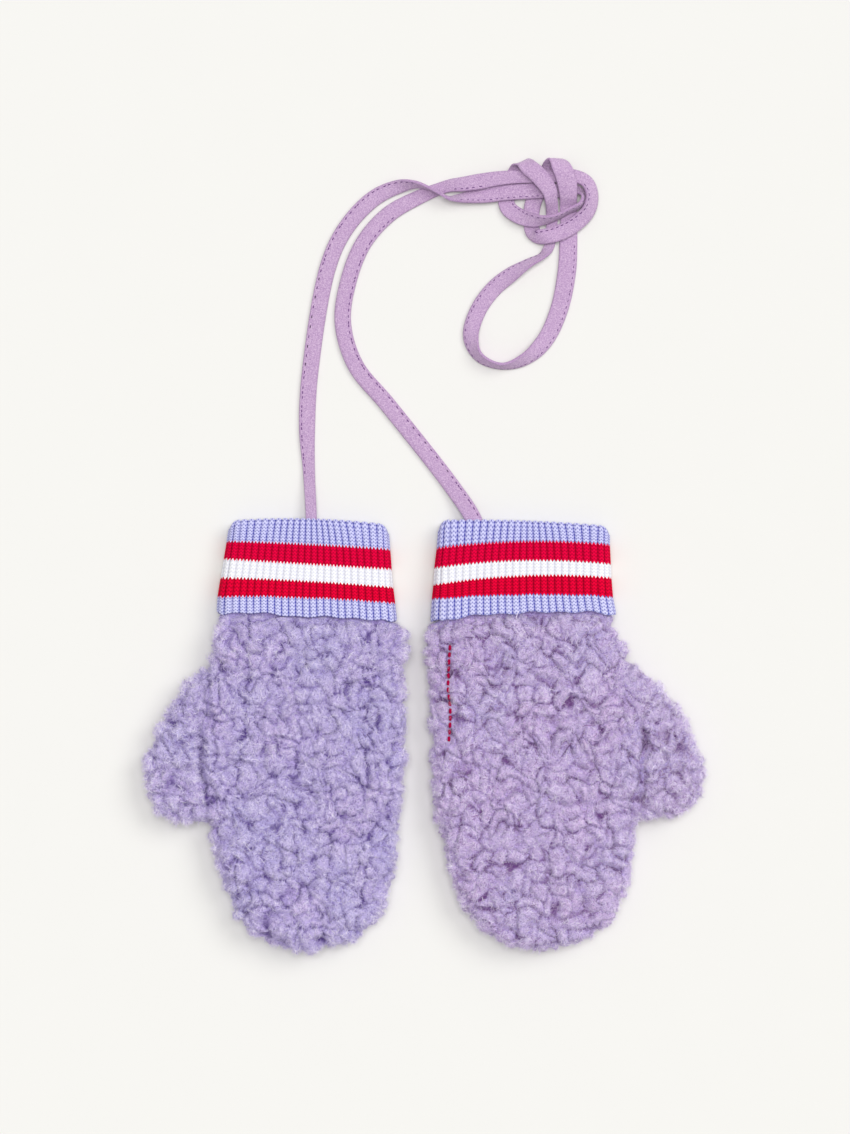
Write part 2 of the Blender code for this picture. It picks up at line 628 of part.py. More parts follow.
class Mitten:
    """Plan and heights of one mitten's fleece, worked out from its rows and its cuff."""

    def __init__(self, side):
        self.side = side
        self.sign = THUMB_SIDE[side]
        self.cuff = Cuff(side)
        rows = np.array(HAND_ROWS[side], float)
        edge = np.array(THUMB_EDGE[side], float)
        tucks = {sign: self.tuck_points(sign) for sign in (-1, 1)}
        lefts = np.stack([rows[:, 1], rows[:, 0]], axis=1)
        rights = np.stack([rows[:, 2], rows[:, 0]], axis=1)
        through = np.vstack(
            [tucks[-1][-1:], lefts, [HAND_TIP[side]], rights[::-1], tucks[1][-1:]]
        )
        round_hand = catmull_rom(through, 10)
        tip = int(np.argmin(round_hand[:, 1]))
        thumb_side = round_hand[tip:] if self.sign > 0 else round_hand[: tip + 1][::-1]
        joined = (thumb_side[:, 1] > edge[-1, 1]) & (thumb_side[:, 1] < edge[0, 1])
        self.seam = thumb_side[joined]
        self.clumps = Clumps(*self.reach(round_hand, edge))
        self.thumb_free = self.waved(resample(catmull_rom(edge, 8), OUTLINE_STEP), -self.sign)
        self.hand = self.hand_outline(tucks, round_hand)
        self.thumb = self.thumb_outline()
        self.rim = self.rim_segments(tucks, round_hand)

    def reach(self, round_hand, edge):
        both = np.vstack([round_hand, edge])
        return both.min(axis=0), both.max(axis=0)

    def tuck_points(self, sign):
        """The side of the fleece inside the cuff, from the inner layer's end to the hem."""
        cuff = self.cuff
        found = []
        end = cuff.length - CUFF_TUCK + GAP
        for down, inset in ((end, TUCK_INSET_END), (cuff.length, TUCK_INSET_HEM)):
            row = cuff.section(down)
            x = row["centre"] + sign * (row["half"] - inset)
            found.append((x, cuff.y_at(down, sign)))
        found.append((found[-1][0], found[-1][1] - TUCK_LIP))
        return np.array(found)

    def waved(self, line, turn):
        """The edge swells and dips a little where the curls of the pile meet it."""
        swell = OUTLINE_WAVE * (self.clumps.lift(line) - 0.5)
        swell *= smooth_step(edge_distance(line, segments_of(self.seam)), *FADES["wave"])
        swell *= smooth_step(self.below_hem(line), *FADES["wave"])
        along = np.gradient(line, axis=0)
        outward = turn * np.stack([along[:, 1], -along[:, 0]], axis=1)
        outward /= np.linalg.norm(outward, axis=1)[:, None]
        return line + outward * swell[:, None]

    def hand_outline(self, tucks, round_hand):
        """Closed outline, down the left side, round the tip, up the right and along the wrist."""
        side_line = self.waved(resample(round_hand, OUTLINE_STEP), 1)
        end = self.cuff.length - CUFF_TUCK + GAP
        row = self.cuff.section(end)
        first, last = tucks[1][0], tucks[-1][0]
        steps = round((first[0] - last[0]) / OUTLINE_STEP)
        wrist = []
        for x in np.linspace(first[0], last[0], steps + 1)[1:-1]:
            wrist.append((x, self.cuff.y_at(end, (x - row["centre"]) / row["half"])))
        return np.vstack([tucks[-1][:-1], side_line, tucks[1][-2::-1], wrist])

    def thumb_outline(self):
        """Closed outline of the thumb: its free edge and, one gap outside the hand, the seam."""
        seam = resample(self.seam, OUTLINE_STEP) + (self.sign * GAP, 0.0)
        if seam[0, 1] > seam[-1, 1]:
            seam = seam[::-1]
        if self.sign < 0:
            return np.vstack([self.thumb_free, seam])
        return np.vstack([self.thumb_free[::-1], seam[::-1]])

    def rim_segments(self, tucks, round_hand):
        """The pair of panels' common edge, without the thumb seam and the wrist."""
        mids = (round_hand[:-1] + round_hand[1:]) / 2.0
        on_seam = edge_distance(mids, segments_of(self.seam)) < 0.05
        pieces = [segments_of(round_hand)[~on_seam], segments_of(self.thumb_free)]
        pieces += [segments_of(tucks[sign]) for sign in (-1, 1)]
        return np.vstack(pieces)

    def hem_points(self):
        """Rows across the fleece where it comes out from under the turned-down hem."""
        cuff = self.cuff
        row = cuff.section(cuff.length)
        found = []
        for below in HEM_ROWS:
            count = round(2.0 * row["half"] / OUTLINE_STEP)
            for across in np.linspace(-HEM_REACH, HEM_REACH, count):
                y = cuff.y_at(cuff.length, across) - below
                found.append((row["centre"] + across * row["half"], y))
        return np.array(found)

    def below_hem(self, points):
        """Distance from the cuff's hem towards the fingertips; negative inside the cuff."""
        cuff = self.cuff
        row = cuff.section(cuff.length)
        across = np.clip((np.asarray(points)[:, 0] - row["centre"]) / row["half"], -1.0, 1.0)
        hem = np.array([cuff.y_at(cuff.length, value) for value in across])
        return hem - np.asarray(points)[:, 1]

    def heights(self, points, rise):
        """Top, seam plane and bottom of the fleece, and its two inner faces, at points."""
        below = self.below_hem(points)
        tucked = 1.0 - smooth_step(below, *FADES["tuck"])
        lifted = 1.0 - smooth_step(below, *FADES["lift"])
        inside_cuff = np.clip(self.cuff.length - np.maximum(-below, 0.0), 0.0, None)
        cuff_wall = CUFF_LAYER + CUFF_LAYER_GAP
        half = self.cuff.section(inside_cuff)["thick"] / 2.0
        distance = edge_distance(points, self.rim)
        seam = SEAM_HEIGHT * (1.0 - tucked) + half * tucked
        full = rise * (1.0 - tucked) + (half - cuff_wall) * tucked
        radius = RIM_RADIUS_TOP * (1.0 - tucked) + RIM_RADIUS_TUCKED * tucked
        roll = np.sqrt(1.0 - (1.0 - np.clip(distance / radius, 0.0, 1.0)) ** 2)
        to_seam = edge_distance(points, segments_of(self.seam))
        crease = CREASE_DEPTH * np.exp(-((to_seam / CREASE_REACH) ** 2))
        curls = CLUMP_RISE * (self.clumps.lift(points) - CLUMP_LEVEL) * (1.0 - tucked)
        top = seam + GAP / 2.0 + RIM_EDGE + (full - RIM_EDGE) * roll
        top += curls * smooth_step(distance, *FADES["curl"])
        top -= crease * smooth_step(distance, *FADES["crease"])
        under = np.sqrt(1.0 - (1.0 - np.clip(distance / RIM_RADIUS_UNDER, 0.0, 1.0)) ** 2)
        low_edge = seam - GAP / 2.0 - RIM_EDGE
        bottom = low_edge - (low_edge - cuff_wall * lifted) * under
        hollow = HOLLOW / 2.0 * smooth_step(distance, *FADES["hollow"])
        return {
            "top": top,
            "back_inner": seam + GAP / 2.0 + hollow,
            "palm_inner": seam - GAP / 2.0 - hollow,
            "bottom": bottom,
        }


def make_panel(name, mitten, outline, rise, upper, lower):
    """A wall of pile fleece between two of the mitten's height maps, over one outline."""
    edges = segments_of(np.vstack([outline, outline[:1]]))
    low, high = outline.min(axis=0), outline.max(axis=0)
    rings = rim_points(outline, RIM_RINGS)
    hem = mitten.hem_points()
    hem = hem[inside(hem, outline) & (edge_distance(hem, edges) > RIM_RINGS[0])]
    rings = spread(rings, hem, RIM_RING_APART) if len(hem) else rings
    sheets = {}
    for face in (upper, lower):
        if face == "top":
            field, (clear, apart) = mitten.clumps.points(), FIELD_SPACING["curly"]
        else:
            field, (clear, apart) = plain_points(low, high, PLAIN_PITCH), FIELD_SPACING["plain"]
        ring = np.vstack([rings, hem]) if face in ("top", "bottom") else hem[:0]
        away = edge_distance(field, edges) > RIM_RINGS[-1] + clear
        field = field[inside(field, outline) & away]
        field = spread(field, np.vstack([ring, outline]), apart)
        sheets[face] = np.vstack([ring, field])
    count = len(outline)
    at_edge = mitten.heights(outline, rise)
    points = [np.column_stack([outline, at_edge[face]]) for face in (upper, lower)]
    faces = []
    start = 2 * count
    for order, face in enumerate((upper, lower)):
        inner = sheets[face]
        points.append(np.column_stack([inner, mitten.heights(inner, rise)[face]]))
        for corners in triangulate(outline, inner):
            faces.append([c + order * count if c < count else c - count + start for c in corners])
        start += len(inner)
    for k in range(count):
        after = (k + 1) % count
        faces.append((k, after, count + after, count + k))
    return make_object(name, np.vstack(points), faces, "pile_fleece")


def make_mitten(side):
    mitten = Mitten(side)
    for piece, outline, rise in (
        ("", mitten.hand, BACK_RISE),
        ("thumb_", mitten.thumb, THUMB_RISE),
    ):
        make_panel(f"{side}_{piece}back", mitten, outline, rise, "top", "back_inner")
        make_panel(f"{side}_{piece}palm", mitten, outline, rise, "palm_inner", "bottom")


def tape_frames():
    """Centre, across and through directions and width of the tape at each sample."""
    rows = [dict(zip(CORD_COLUMNS, row)) for row in CORD_ROWS]
    line = []
    for row in rows:
        lean = 0.0 if row["facing"] is not None else math.sin(math.radians(row["roll"]))
        rise = (row["width"] - TAPE_THICKNESS) / 2.0 * abs(lean) + TAPE_THICKNESS / 2.0
        line.append((row["x"], row["y"], row["lift"] + rise, row["width"]))
    samples = centripetal(line, TAPE_STEPS)
    centre, width = samples[:, :3], samples[:, 3]
    ahead = unit(np.gradient(centre, axis=0))
    across = []
    for row, along in zip(rows, ahead[::TAPE_STEPS]):
        if row["facing"] is None:
            level = unit(np.cross(along, (0.0, 0.0, 1.0)))
            roll = math.radians(row["roll"])
            side = level * math.cos(roll) + np.cross(along, level) * math.sin(roll)
        else:
            turn = math.radians(row["facing"])
            side = np.array((math.cos(turn), math.sin(turn), 0.0))
            side = unit(side - along * (side @ along))
        if across and side @ across[-1] < 0.0:
            side = -side
        across.append(side)
    across = catmull_rom(across, TAPE_STEPS)
    across = unit(across - ahead * (across * ahead).sum(axis=1, keepdims=True))
    through = np.cross(ahead, across)
    reach = np.abs(across[:, 2]) * width / 2.0 + np.abs(through[:, 2]) * TAPE_THICKNESS / 2.0
    centre[:, 2] = np.maximum(centre[:, 2], reach + TAPE_CLEAR)
    return centre, across, through, width


def make_cord():
    """The jersey tape: a flat section with rounded edges, swept along its route."""
    centre, across, through, width = tape_frames()
    half, edge = TAPE_THICKNESS / 2.0, TAPE_EDGE
    points, faces = [], []
    for c, a, n, w in zip(centre, across, through, width / 2.0):
        section = ((w, 0), (w - edge, half), (edge - w, half))
        section += tuple((-x, -y) for x, y in section)
        points += [c + a * x + n * y for x, y in section]
    sides = len(points) // len(centre)
    for ring in range(len(centre) - 1):
        here, there = ring * sides, (ring + 1) * sides
        for k in range(sides):
            after = (k + 1) % sides
            faces.append((here + k, here + after, there + after, there + k))
    faces.append(tuple(range(sides)))
    faces.append(tuple(range(len(points) - sides, len(points))))
    return make_object("cord", points, faces, "jersey_tape")


def main():
    for obj in list(bpy.data.objects):
        bpy.data.objects.remove(obj, do_unlink=True)
    for side in ("left", "right"):
        make_cuff(side)
        make_mitten(side)
    make_cord()


main()
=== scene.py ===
"""A child's pair of curly fleece mittens with striped rib cuffs and a knotted tape cord.

The script runs in Blender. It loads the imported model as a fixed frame, lays each cloth over its
solid, and sets the surface, the light and the camera, which looks straight down. Sizes are in
metres, +X is to the right, +Y is from the fingertips to the cuffs and +Z is up.
"""

import math

import bpy
import numpy as np
from bpy.props import EnumProperty, FloatProperty, FloatVectorProperty, IntProperty, PointerProperty
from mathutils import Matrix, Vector
from mathutils.geometry import delaunay_2d_cdt


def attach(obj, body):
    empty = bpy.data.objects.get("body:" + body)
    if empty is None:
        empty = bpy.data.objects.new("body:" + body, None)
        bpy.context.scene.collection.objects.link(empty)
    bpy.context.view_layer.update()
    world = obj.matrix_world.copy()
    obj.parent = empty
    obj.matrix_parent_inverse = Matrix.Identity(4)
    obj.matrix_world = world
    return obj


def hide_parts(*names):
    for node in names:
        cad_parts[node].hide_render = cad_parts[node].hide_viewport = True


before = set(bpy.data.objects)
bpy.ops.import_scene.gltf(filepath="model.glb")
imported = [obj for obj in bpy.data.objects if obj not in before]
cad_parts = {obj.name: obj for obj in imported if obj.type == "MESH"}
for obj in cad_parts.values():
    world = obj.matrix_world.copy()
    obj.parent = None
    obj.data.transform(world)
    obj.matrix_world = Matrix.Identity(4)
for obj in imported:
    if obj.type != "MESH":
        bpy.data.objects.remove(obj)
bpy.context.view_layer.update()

bl_info = {
    "name": "Fleece mittens with a cord",
    "version": (1, 0, 0),
    "blender": (4, 5, 0),
    "location": "View3D > Sidebar > Mittens",
    "description": "Cloth, knit and tape of a pair of mittens laid flat",
    "category": "Object",
}

SIDES = ("left", "right")
THUMB_SIDE = {"left": -1, "right": 1}
MM = 0.001
GAP = 0.3 * MM
# Two lines that are this close are the same line.
SAME = 0.05 * MM

# The camera and the stage. The lights give azimuth, height and breadth, all in degrees.
SENSOR = 36.0
VIEW_CENTRE = (0.0004, 0.0674)
VIEW_HEIGHT = 0.4536
FOCUS_HEIGHT = 8.0 * MM
FLOOR_REACH = 2.0
FLOOR_CORNERS = ((-1, -1), (1, -1), (1, 1), (-1, 1))
FLOOR_DROP = 0.2 * MM
LIGHTS = {"key": (32.0, 46.0, 34.0), "overhead": (90.0, 84.0, 30.0)}

# The fleece's heights, the same as the solids': the seam round the hand, the rise of the back
# over it, and the roll of the pile at the rim, above and below.
SEAM_HEIGHT = 7.4 * MM
BACK_RISE = 7.4 * MM
THUMB_RISE = 6.0 * MM
RIM_EDGE = 0.6 * MM
RIM_RADIUS_TOP = 13.0 * MM
RIM_RADIUS_UNDER = 7.0 * MM
RIM_RADIUS_TUCKED = 4.0 * MM
HOLLOW = 0.9 * MM
CREASE_DEPTH = 1.1 * MM
CREASE_REACH = 3.0 * MM
FADES = {
    "tuck": (-0.4 * MM, 7.5 * MM),
    "lift": (0.5 * MM, 5.0 * MM),
    "crease": (0.0, 8.0 * MM),
    "hollow": (2.0 * MM, 14.0 * MM),
    "pile": (-0.4 * MM, 2.4 * MM),
    "rest": (0.0, 3.0 * MM),
}

# The seam between hand and thumb sways a little, and the hand laps over it.
SEAM_SWAY = 0.8 * MM
SEAM_SWAY_LENGTH = 11.0 * MM
SEAM_FADE = 6.0 * MM
SEAM_LAP = 0.45 * MM
SEAM_UPRIGHT = 0.9 * MM

# Panels: rings of points just inside the outline of a back and of a palm, how much coarser a
# palm's mesh is, and the pitch of the plain inner face and its distance from the outline. Then
# what is added to an outline for the roll of its pile and the seam allowance.
RING_STEPS = {
    True: (0.35 * MM, 0.8 * MM, 1.3 * MM, 1.9 * MM, 2.5 * MM),
    False: (0.4 * MM, 1.0 * MM, 1.8 * MM),
}
PALM_MESH = 1.8
BACK_MESH = (7.0 * MM, 4.0 * MM)
CUT_ALLOWANCE = 14.0 * MM

# Shares of a cell's pitch: the rounding of a furrow's bottom, how far the side of a curl goes,
# and the reach of its dome. Then the share of the two in its height, how much longer than broad
# a cell is, how sizes vary, and how far a cell may lie off its place.
FURROW_ROUND = 0.05
CROWN_REACH = 0.55
DOME_REACH = 0.74
CROWN_SHARES = (0.45, 0.55)
CELL_STRETCH = 1.22
CELL_SIZES = (0.76, 0.5)
CELL_SHIFT = 0.72
# What scatters the cells: primes that mix their numbers, a large factor, and one for each draw.
SCATTER_PRIMES = (73856093, 19349663, 83492791)
SCATTER = 43758.5453
SCATTER_DRAWS = (1.0, 1.7, 2.3)
CELL_TURNS = 19.0

# What bends the pattern of each kind of cell: wavelength, amount and seed.
GROUP_BENDS = ((26.0 * MM, 3.0 * MM, 4),)
CLUMP_BENDS = ((14.0 * MM, 2.0 * MM, 0), (6.5 * MM, 0.7 * MM, 10), (3.4 * MM, 0.3 * MM, 15))
CURL_BENDS = ((7.0 * MM, 0.9 * MM, 20),)
# Painted shade in the creases between cells: how dark it is, and how far it reaches as a share of
# the pitch. Low ground gets painted shade too.
CREASE_PAINTED_SHADE = {"group": (0.16, 0.06), "clump": (0.74, 0.10), "curl": (0.16, 0.14)}
LOW_GROUND_PAINTED_SHADE = {"group": 0.08, "clump": 0.22}
LOW_POWER = 1.6
# Mean height of the puffs, which is taken off so that they lie about the smooth form. Clumps are
# higher or lower from one to the next: least and swing.
MEAN_HEIGHTS = {"group": 0.55, "clump": 0.62, "curl": 0.55}
CLUMP_VARIES = (0.8, 0.4)
CURL_SEEDS = {"left": 11, "right": 31}
CURL_STEP = 0.5 * MM
FINE_RISE = 0.16 * MM
FINE_LENGTH = 1.8 * MM
FINE_WAVES = 24
# Places where the curls are firm and others where they are brushed out: mean, swing, least and
# most, and their length. Clumps stand out more where they are firm, and single curls less: a
# start and what firmness adds or takes off. The painted shade in the creases between single curls
# is as dark as firmness falls short of FIRM_OUT.
FIRM = (0.84, 0.42, 0.2, 1.15)
FIRM_LENGTH = 12.0 * MM
FIRM_CLUMP = (0.45, 0.55)
FIRM_CURL = (1.2, 0.7)
FIRM_OUT = 1.2
RIM_REACH = 1.6 * MM
RIM_DELAY = 2.6 * MM
# Painted highlight along the rim: the share of the painted shade that it takes off there.
RIM_PAINTED_HIGHLIGHT = 0.8
RIM_SCALLOP = 0.15
# Painted shade on the cloth where it has no curls, under the hem.
PLAIN_PAINTED_SHADE = 0.5
FURROW_DEPTH = 0.8 * MM
FURROW_REACH = 1.3 * MM
# Painted shade along the deep furrows listed in FURROWS.
FURROW_PAINTED_SHADE = 0.35

# Fibres: how they fall, spread and stand. Ranges are shares of the mean length or width.
STRAND_STEPS = 2
STRAND_FALL = 1.6
STRAND_SWIRL = 9.0 * MM
STRAND_SPREAD = 0.75
STRAND_BEND = 0.9
STRAND_LENGTHS = (0.55, 1.35)
STRAND_WIDTHS = (0.6, 1.25)
STRAND_STAND = (0.1, 0.42)
STRAND_TONES = (1.5, 1.2)
STRAND_HEM = 0.8 * MM
# Fewer fibres are rooted in the furrows: their share on a crown, and what the depth takes off.
# They rise a little at the root, draw in as they bend, sway sideways, stand in an arc, given as
# its start and sweep in half turns, and end narrower. In a furrow they take on some of its
# painted shade.
STRAND_ROOTED = (1.05, 0.8)
STRAND_RISE = 0.05
STRAND_DRAWN_IN = 0.25
STRAND_SWAY = 0.6
STRAND_ARC = (0.12, 0.7)
STRAND_TAPER = 0.6
STRAND_PAINTED_SHADE = 0.65

# The rib cuff: a tube knitted double, folded at its mouth and turned down over the fleece.
RIB_COUNT_FLAT = 21
RIB_COUNT_END = 5
RIB_RISE = 0.75 * MM
RIB_SHARPNESS = 3.2
# Most lean of the ribs at the mouth, on the right and on the left of a cuff.
RIB_LEAN = (2.3 * MM, 1.0 * MM)
RIB_LEAN_FADE = 8.0 * MM
HEM_WAVE = 0.45 * MM
HEM_WAVE_LENGTH = 14.0 * MM
# The hem's underside and its rounded edge: how far up, how deep and the share of the ribs.
HEM_LIP = (0.2 * MM, 0.9 * MM, 0.3)
HEM_ROUND = 0.35 * MM
HEM_ROUND_FADE = 0.4 * MM
FOLD_REACH = 2.6 * MM
FOLD_STEPS = 11
CUFF_LAYER = 1.5 * MM
CUFF_LAYER_GAP = 0.4 * MM
CUFF_INNER_LAYER = 1.3 * MM
CUFF_HOLLOW = 2.2 * MM
CUFF_TUCK = 7.0 * MM
CUFF_CORNER = 3.0 * MM
CUFF_CORNER_START = 0.89
CUFF_CORNER_FADE = 3.0 * MM
CUFF_CROWN = 0.5 * MM
END_ARC = math.radians(160.0)
TUCK_INSET_END = 2.3 * MM
TUCK_INSET_HEM = 2.5 * MM
TUCK_LIP = 0.7 * MM
TUCK_SHOULDER = 1.6 * MM

# The bands' stitches and their painted shade: factor and offset of the step from stitch to
# stitch, of the holes' edges and of their beat across a column, how much painted shade the holes
# get, then the painted shade in the grooves between the ribs.
BANDS = 5
STITCH_STAGGER = (0.32, -0.08)
HOLE_EDGE = (-3.2, 1.75)
HOLE_BEAT = (0.35, 0.55)
HOLE_PAINTED_SHADE = 0.9
GROOVE_SHADE_POWER = 5.0
GROOVE_SHADE_UNEVEN = (2.6, -0.2)

# The tape and its stitching. Its section is across, as a share of its half width, and through,
# as a share of its thickness, over one face with a dent along the seam.
TAPE_THICKNESS = 1.3 * MM
TAPE_CLEAR = 0.05 * MM
TAPE_STEPS = 12
TAPE_WALES = 18.0
TAPE_SECTION = (
    (1.0, 0.0), (0.985, 0.28), (0.93, 0.43), (0.80, 0.46),
    (0.68, 0.40), (0.56, 0.46), (0.2, 0.5), (-0.2, 0.5),
    (-0.6, 0.48), (-0.93, 0.43), (-0.985, 0.28),
)
STITCH_PLACE = 0.68
STITCH_FOOT = 0.4 * TAPE_THICKNESS
# Pitch, length, width and height of the tape's stitches and of the red hand stitches, which
# stand a little over the fleece.
TAPE_STITCH = (2.4 * MM, 1.5 * MM, 0.5 * MM, 0.2 * MM)
RED_STITCH = (2.9 * MM, 2.3 * MM, 1.15 * MM, 0.45 * MM)
RED_FOOT = 0.9 * MM
# A stitch along its length: place, girth, and how far it dips.
DASH_SECTIONS = ((-0.5, 0.35, 0.9), (-0.28, 1.0, 0.2), (0.28, 1.0, 0.2), (0.5, 0.35, 0.9))
DASH_SIDES = 6

# Rows of a cuff, from the fold at its mouth to its turned-down hem, one at each change of
# colour: the flattened tube's left and right sides, the row's height at its left side, middle
# and right side, and the tube's whole thickness.
CUFF_COLUMNS = ("left", "right", "y_left", "y_middle", "y_right", "thick")
CUFF_ROWS = {
    "left": (
        (-0.0776, -0.0146, 0.0854, 0.0862, 0.0838, 0.0086),
        (-0.0786, -0.0140, 0.0778, 0.0766, 0.0746, 0.0092),
        (-0.0797, -0.0134, 0.0707, 0.0686, 0.0666, 0.0098),
        (-0.0810, -0.0128, 0.0632, 0.0618, 0.0593, 0.0106),
        (-0.0822, -0.0120, 0.0555, 0.0552, 0.0530, 0.0114),
        (-0.0826, -0.0112, 0.0490, 0.0478, 0.0458, 0.0120),
    ),
    "right": (
        (0.0062, 0.0740, 0.0856, 0.0854, 0.0832, 0.0086),
        (0.0056, 0.0740, 0.0753, 0.0778, 0.0766, 0.0092),
        (0.0046, 0.0744, 0.0671, 0.0700, 0.0686, 0.0098),
        (0.0042, 0.0746, 0.0603, 0.0640, 0.0632, 0.0106),
        (0.0036, 0.0752, 0.0547, 0.0564, 0.0555, 0.0114),
        (0.0030, 0.0766, 0.0456, 0.0492, 0.0482, 0.0120),
    ),
}
# Rows of a hand, from just under its cuff to near its tip: y, then the x of both sides.
HAND_ROWS = {
    "left": (
        (0.0438, -0.0828, -0.0096), (0.0382, -0.0842, -0.0080), (0.0286, -0.0858, -0.0078),
        (0.0158, -0.0868, -0.0076), (0.0030, -0.0878, -0.0072), (-0.0098, -0.0880, -0.0076),
        (-0.0226, -0.0872, -0.0086), (-0.0346, -0.0860, -0.0100), (-0.0450, -0.0838, -0.0110),
        (-0.0546, -0.0820, -0.0118), (-0.0626, -0.0792, -0.0138), (-0.0698, -0.0760, -0.0166),
        (-0.0762, -0.0724, -0.0204), (-0.0810, -0.0668, -0.0260), (-0.0842, -0.0596, -0.0332),
    ),
    "right": (
        (0.0438, 0.0018, 0.0760), (0.0382, 0.0008, 0.0788), (0.0318, 0.0012, 0.0812),
        (0.0222, 0.0016, 0.0836), (0.0094, 0.0020, 0.0856), (-0.0034, 0.0026, 0.0868),
        (-0.0162, 0.0034, 0.0872), (-0.0258, 0.0040, 0.0870), (-0.0338, 0.0052, 0.0856),
        (-0.0418, 0.0072, 0.0842), (-0.0498, 0.0096, 0.0836), (-0.0578, 0.0114, 0.0824),
        (-0.0650, 0.0142, 0.0792), (-0.0714, 0.0176, 0.0766), (-0.0770, 0.0220, 0.0732),
        (-0.0810, 0.0270, 0.0656), (-0.0842, 0.0344, 0.0560),
    ),
}
HAND_TIP = {"left": (-0.0456, -0.0864), "right": (0.0452, -0.0864)}

# The free edge of a thumb, from where it leaves the side of the hand to the crotch.
THUMB_EDGE = {
    "left": (
        (-0.0888, 0.0266), (-0.0924, 0.0230), (-0.0972, 0.0174), (-0.1016, 0.0114),
        (-0.1052, 0.0054), (-0.1084, -0.0010), (-0.1110, -0.0066), (-0.1116, -0.0130),
        (-0.1112, -0.0194), (-0.1094, -0.0258), (-0.1068, -0.0306), (-0.1028, -0.0334),
        (-0.0968, -0.0346), (-0.0908, -0.0348),
    ),
    "right": (
        (0.0850, 0.0290), (0.0888, 0.0254), (0.0944, 0.0190), (0.1000, 0.0126),
        (0.1044, 0.0062), (0.1068, -0.0002), (0.1096, -0.0058), (0.1118, -0.0122),
        (0.1120, -0.0186), (0.1096, -0.0250), (0.1064, -0.0290), (0.1012, -0.0318),
        (0.0948, -0.0330), (0.0896, -0.0332),
    ),
}

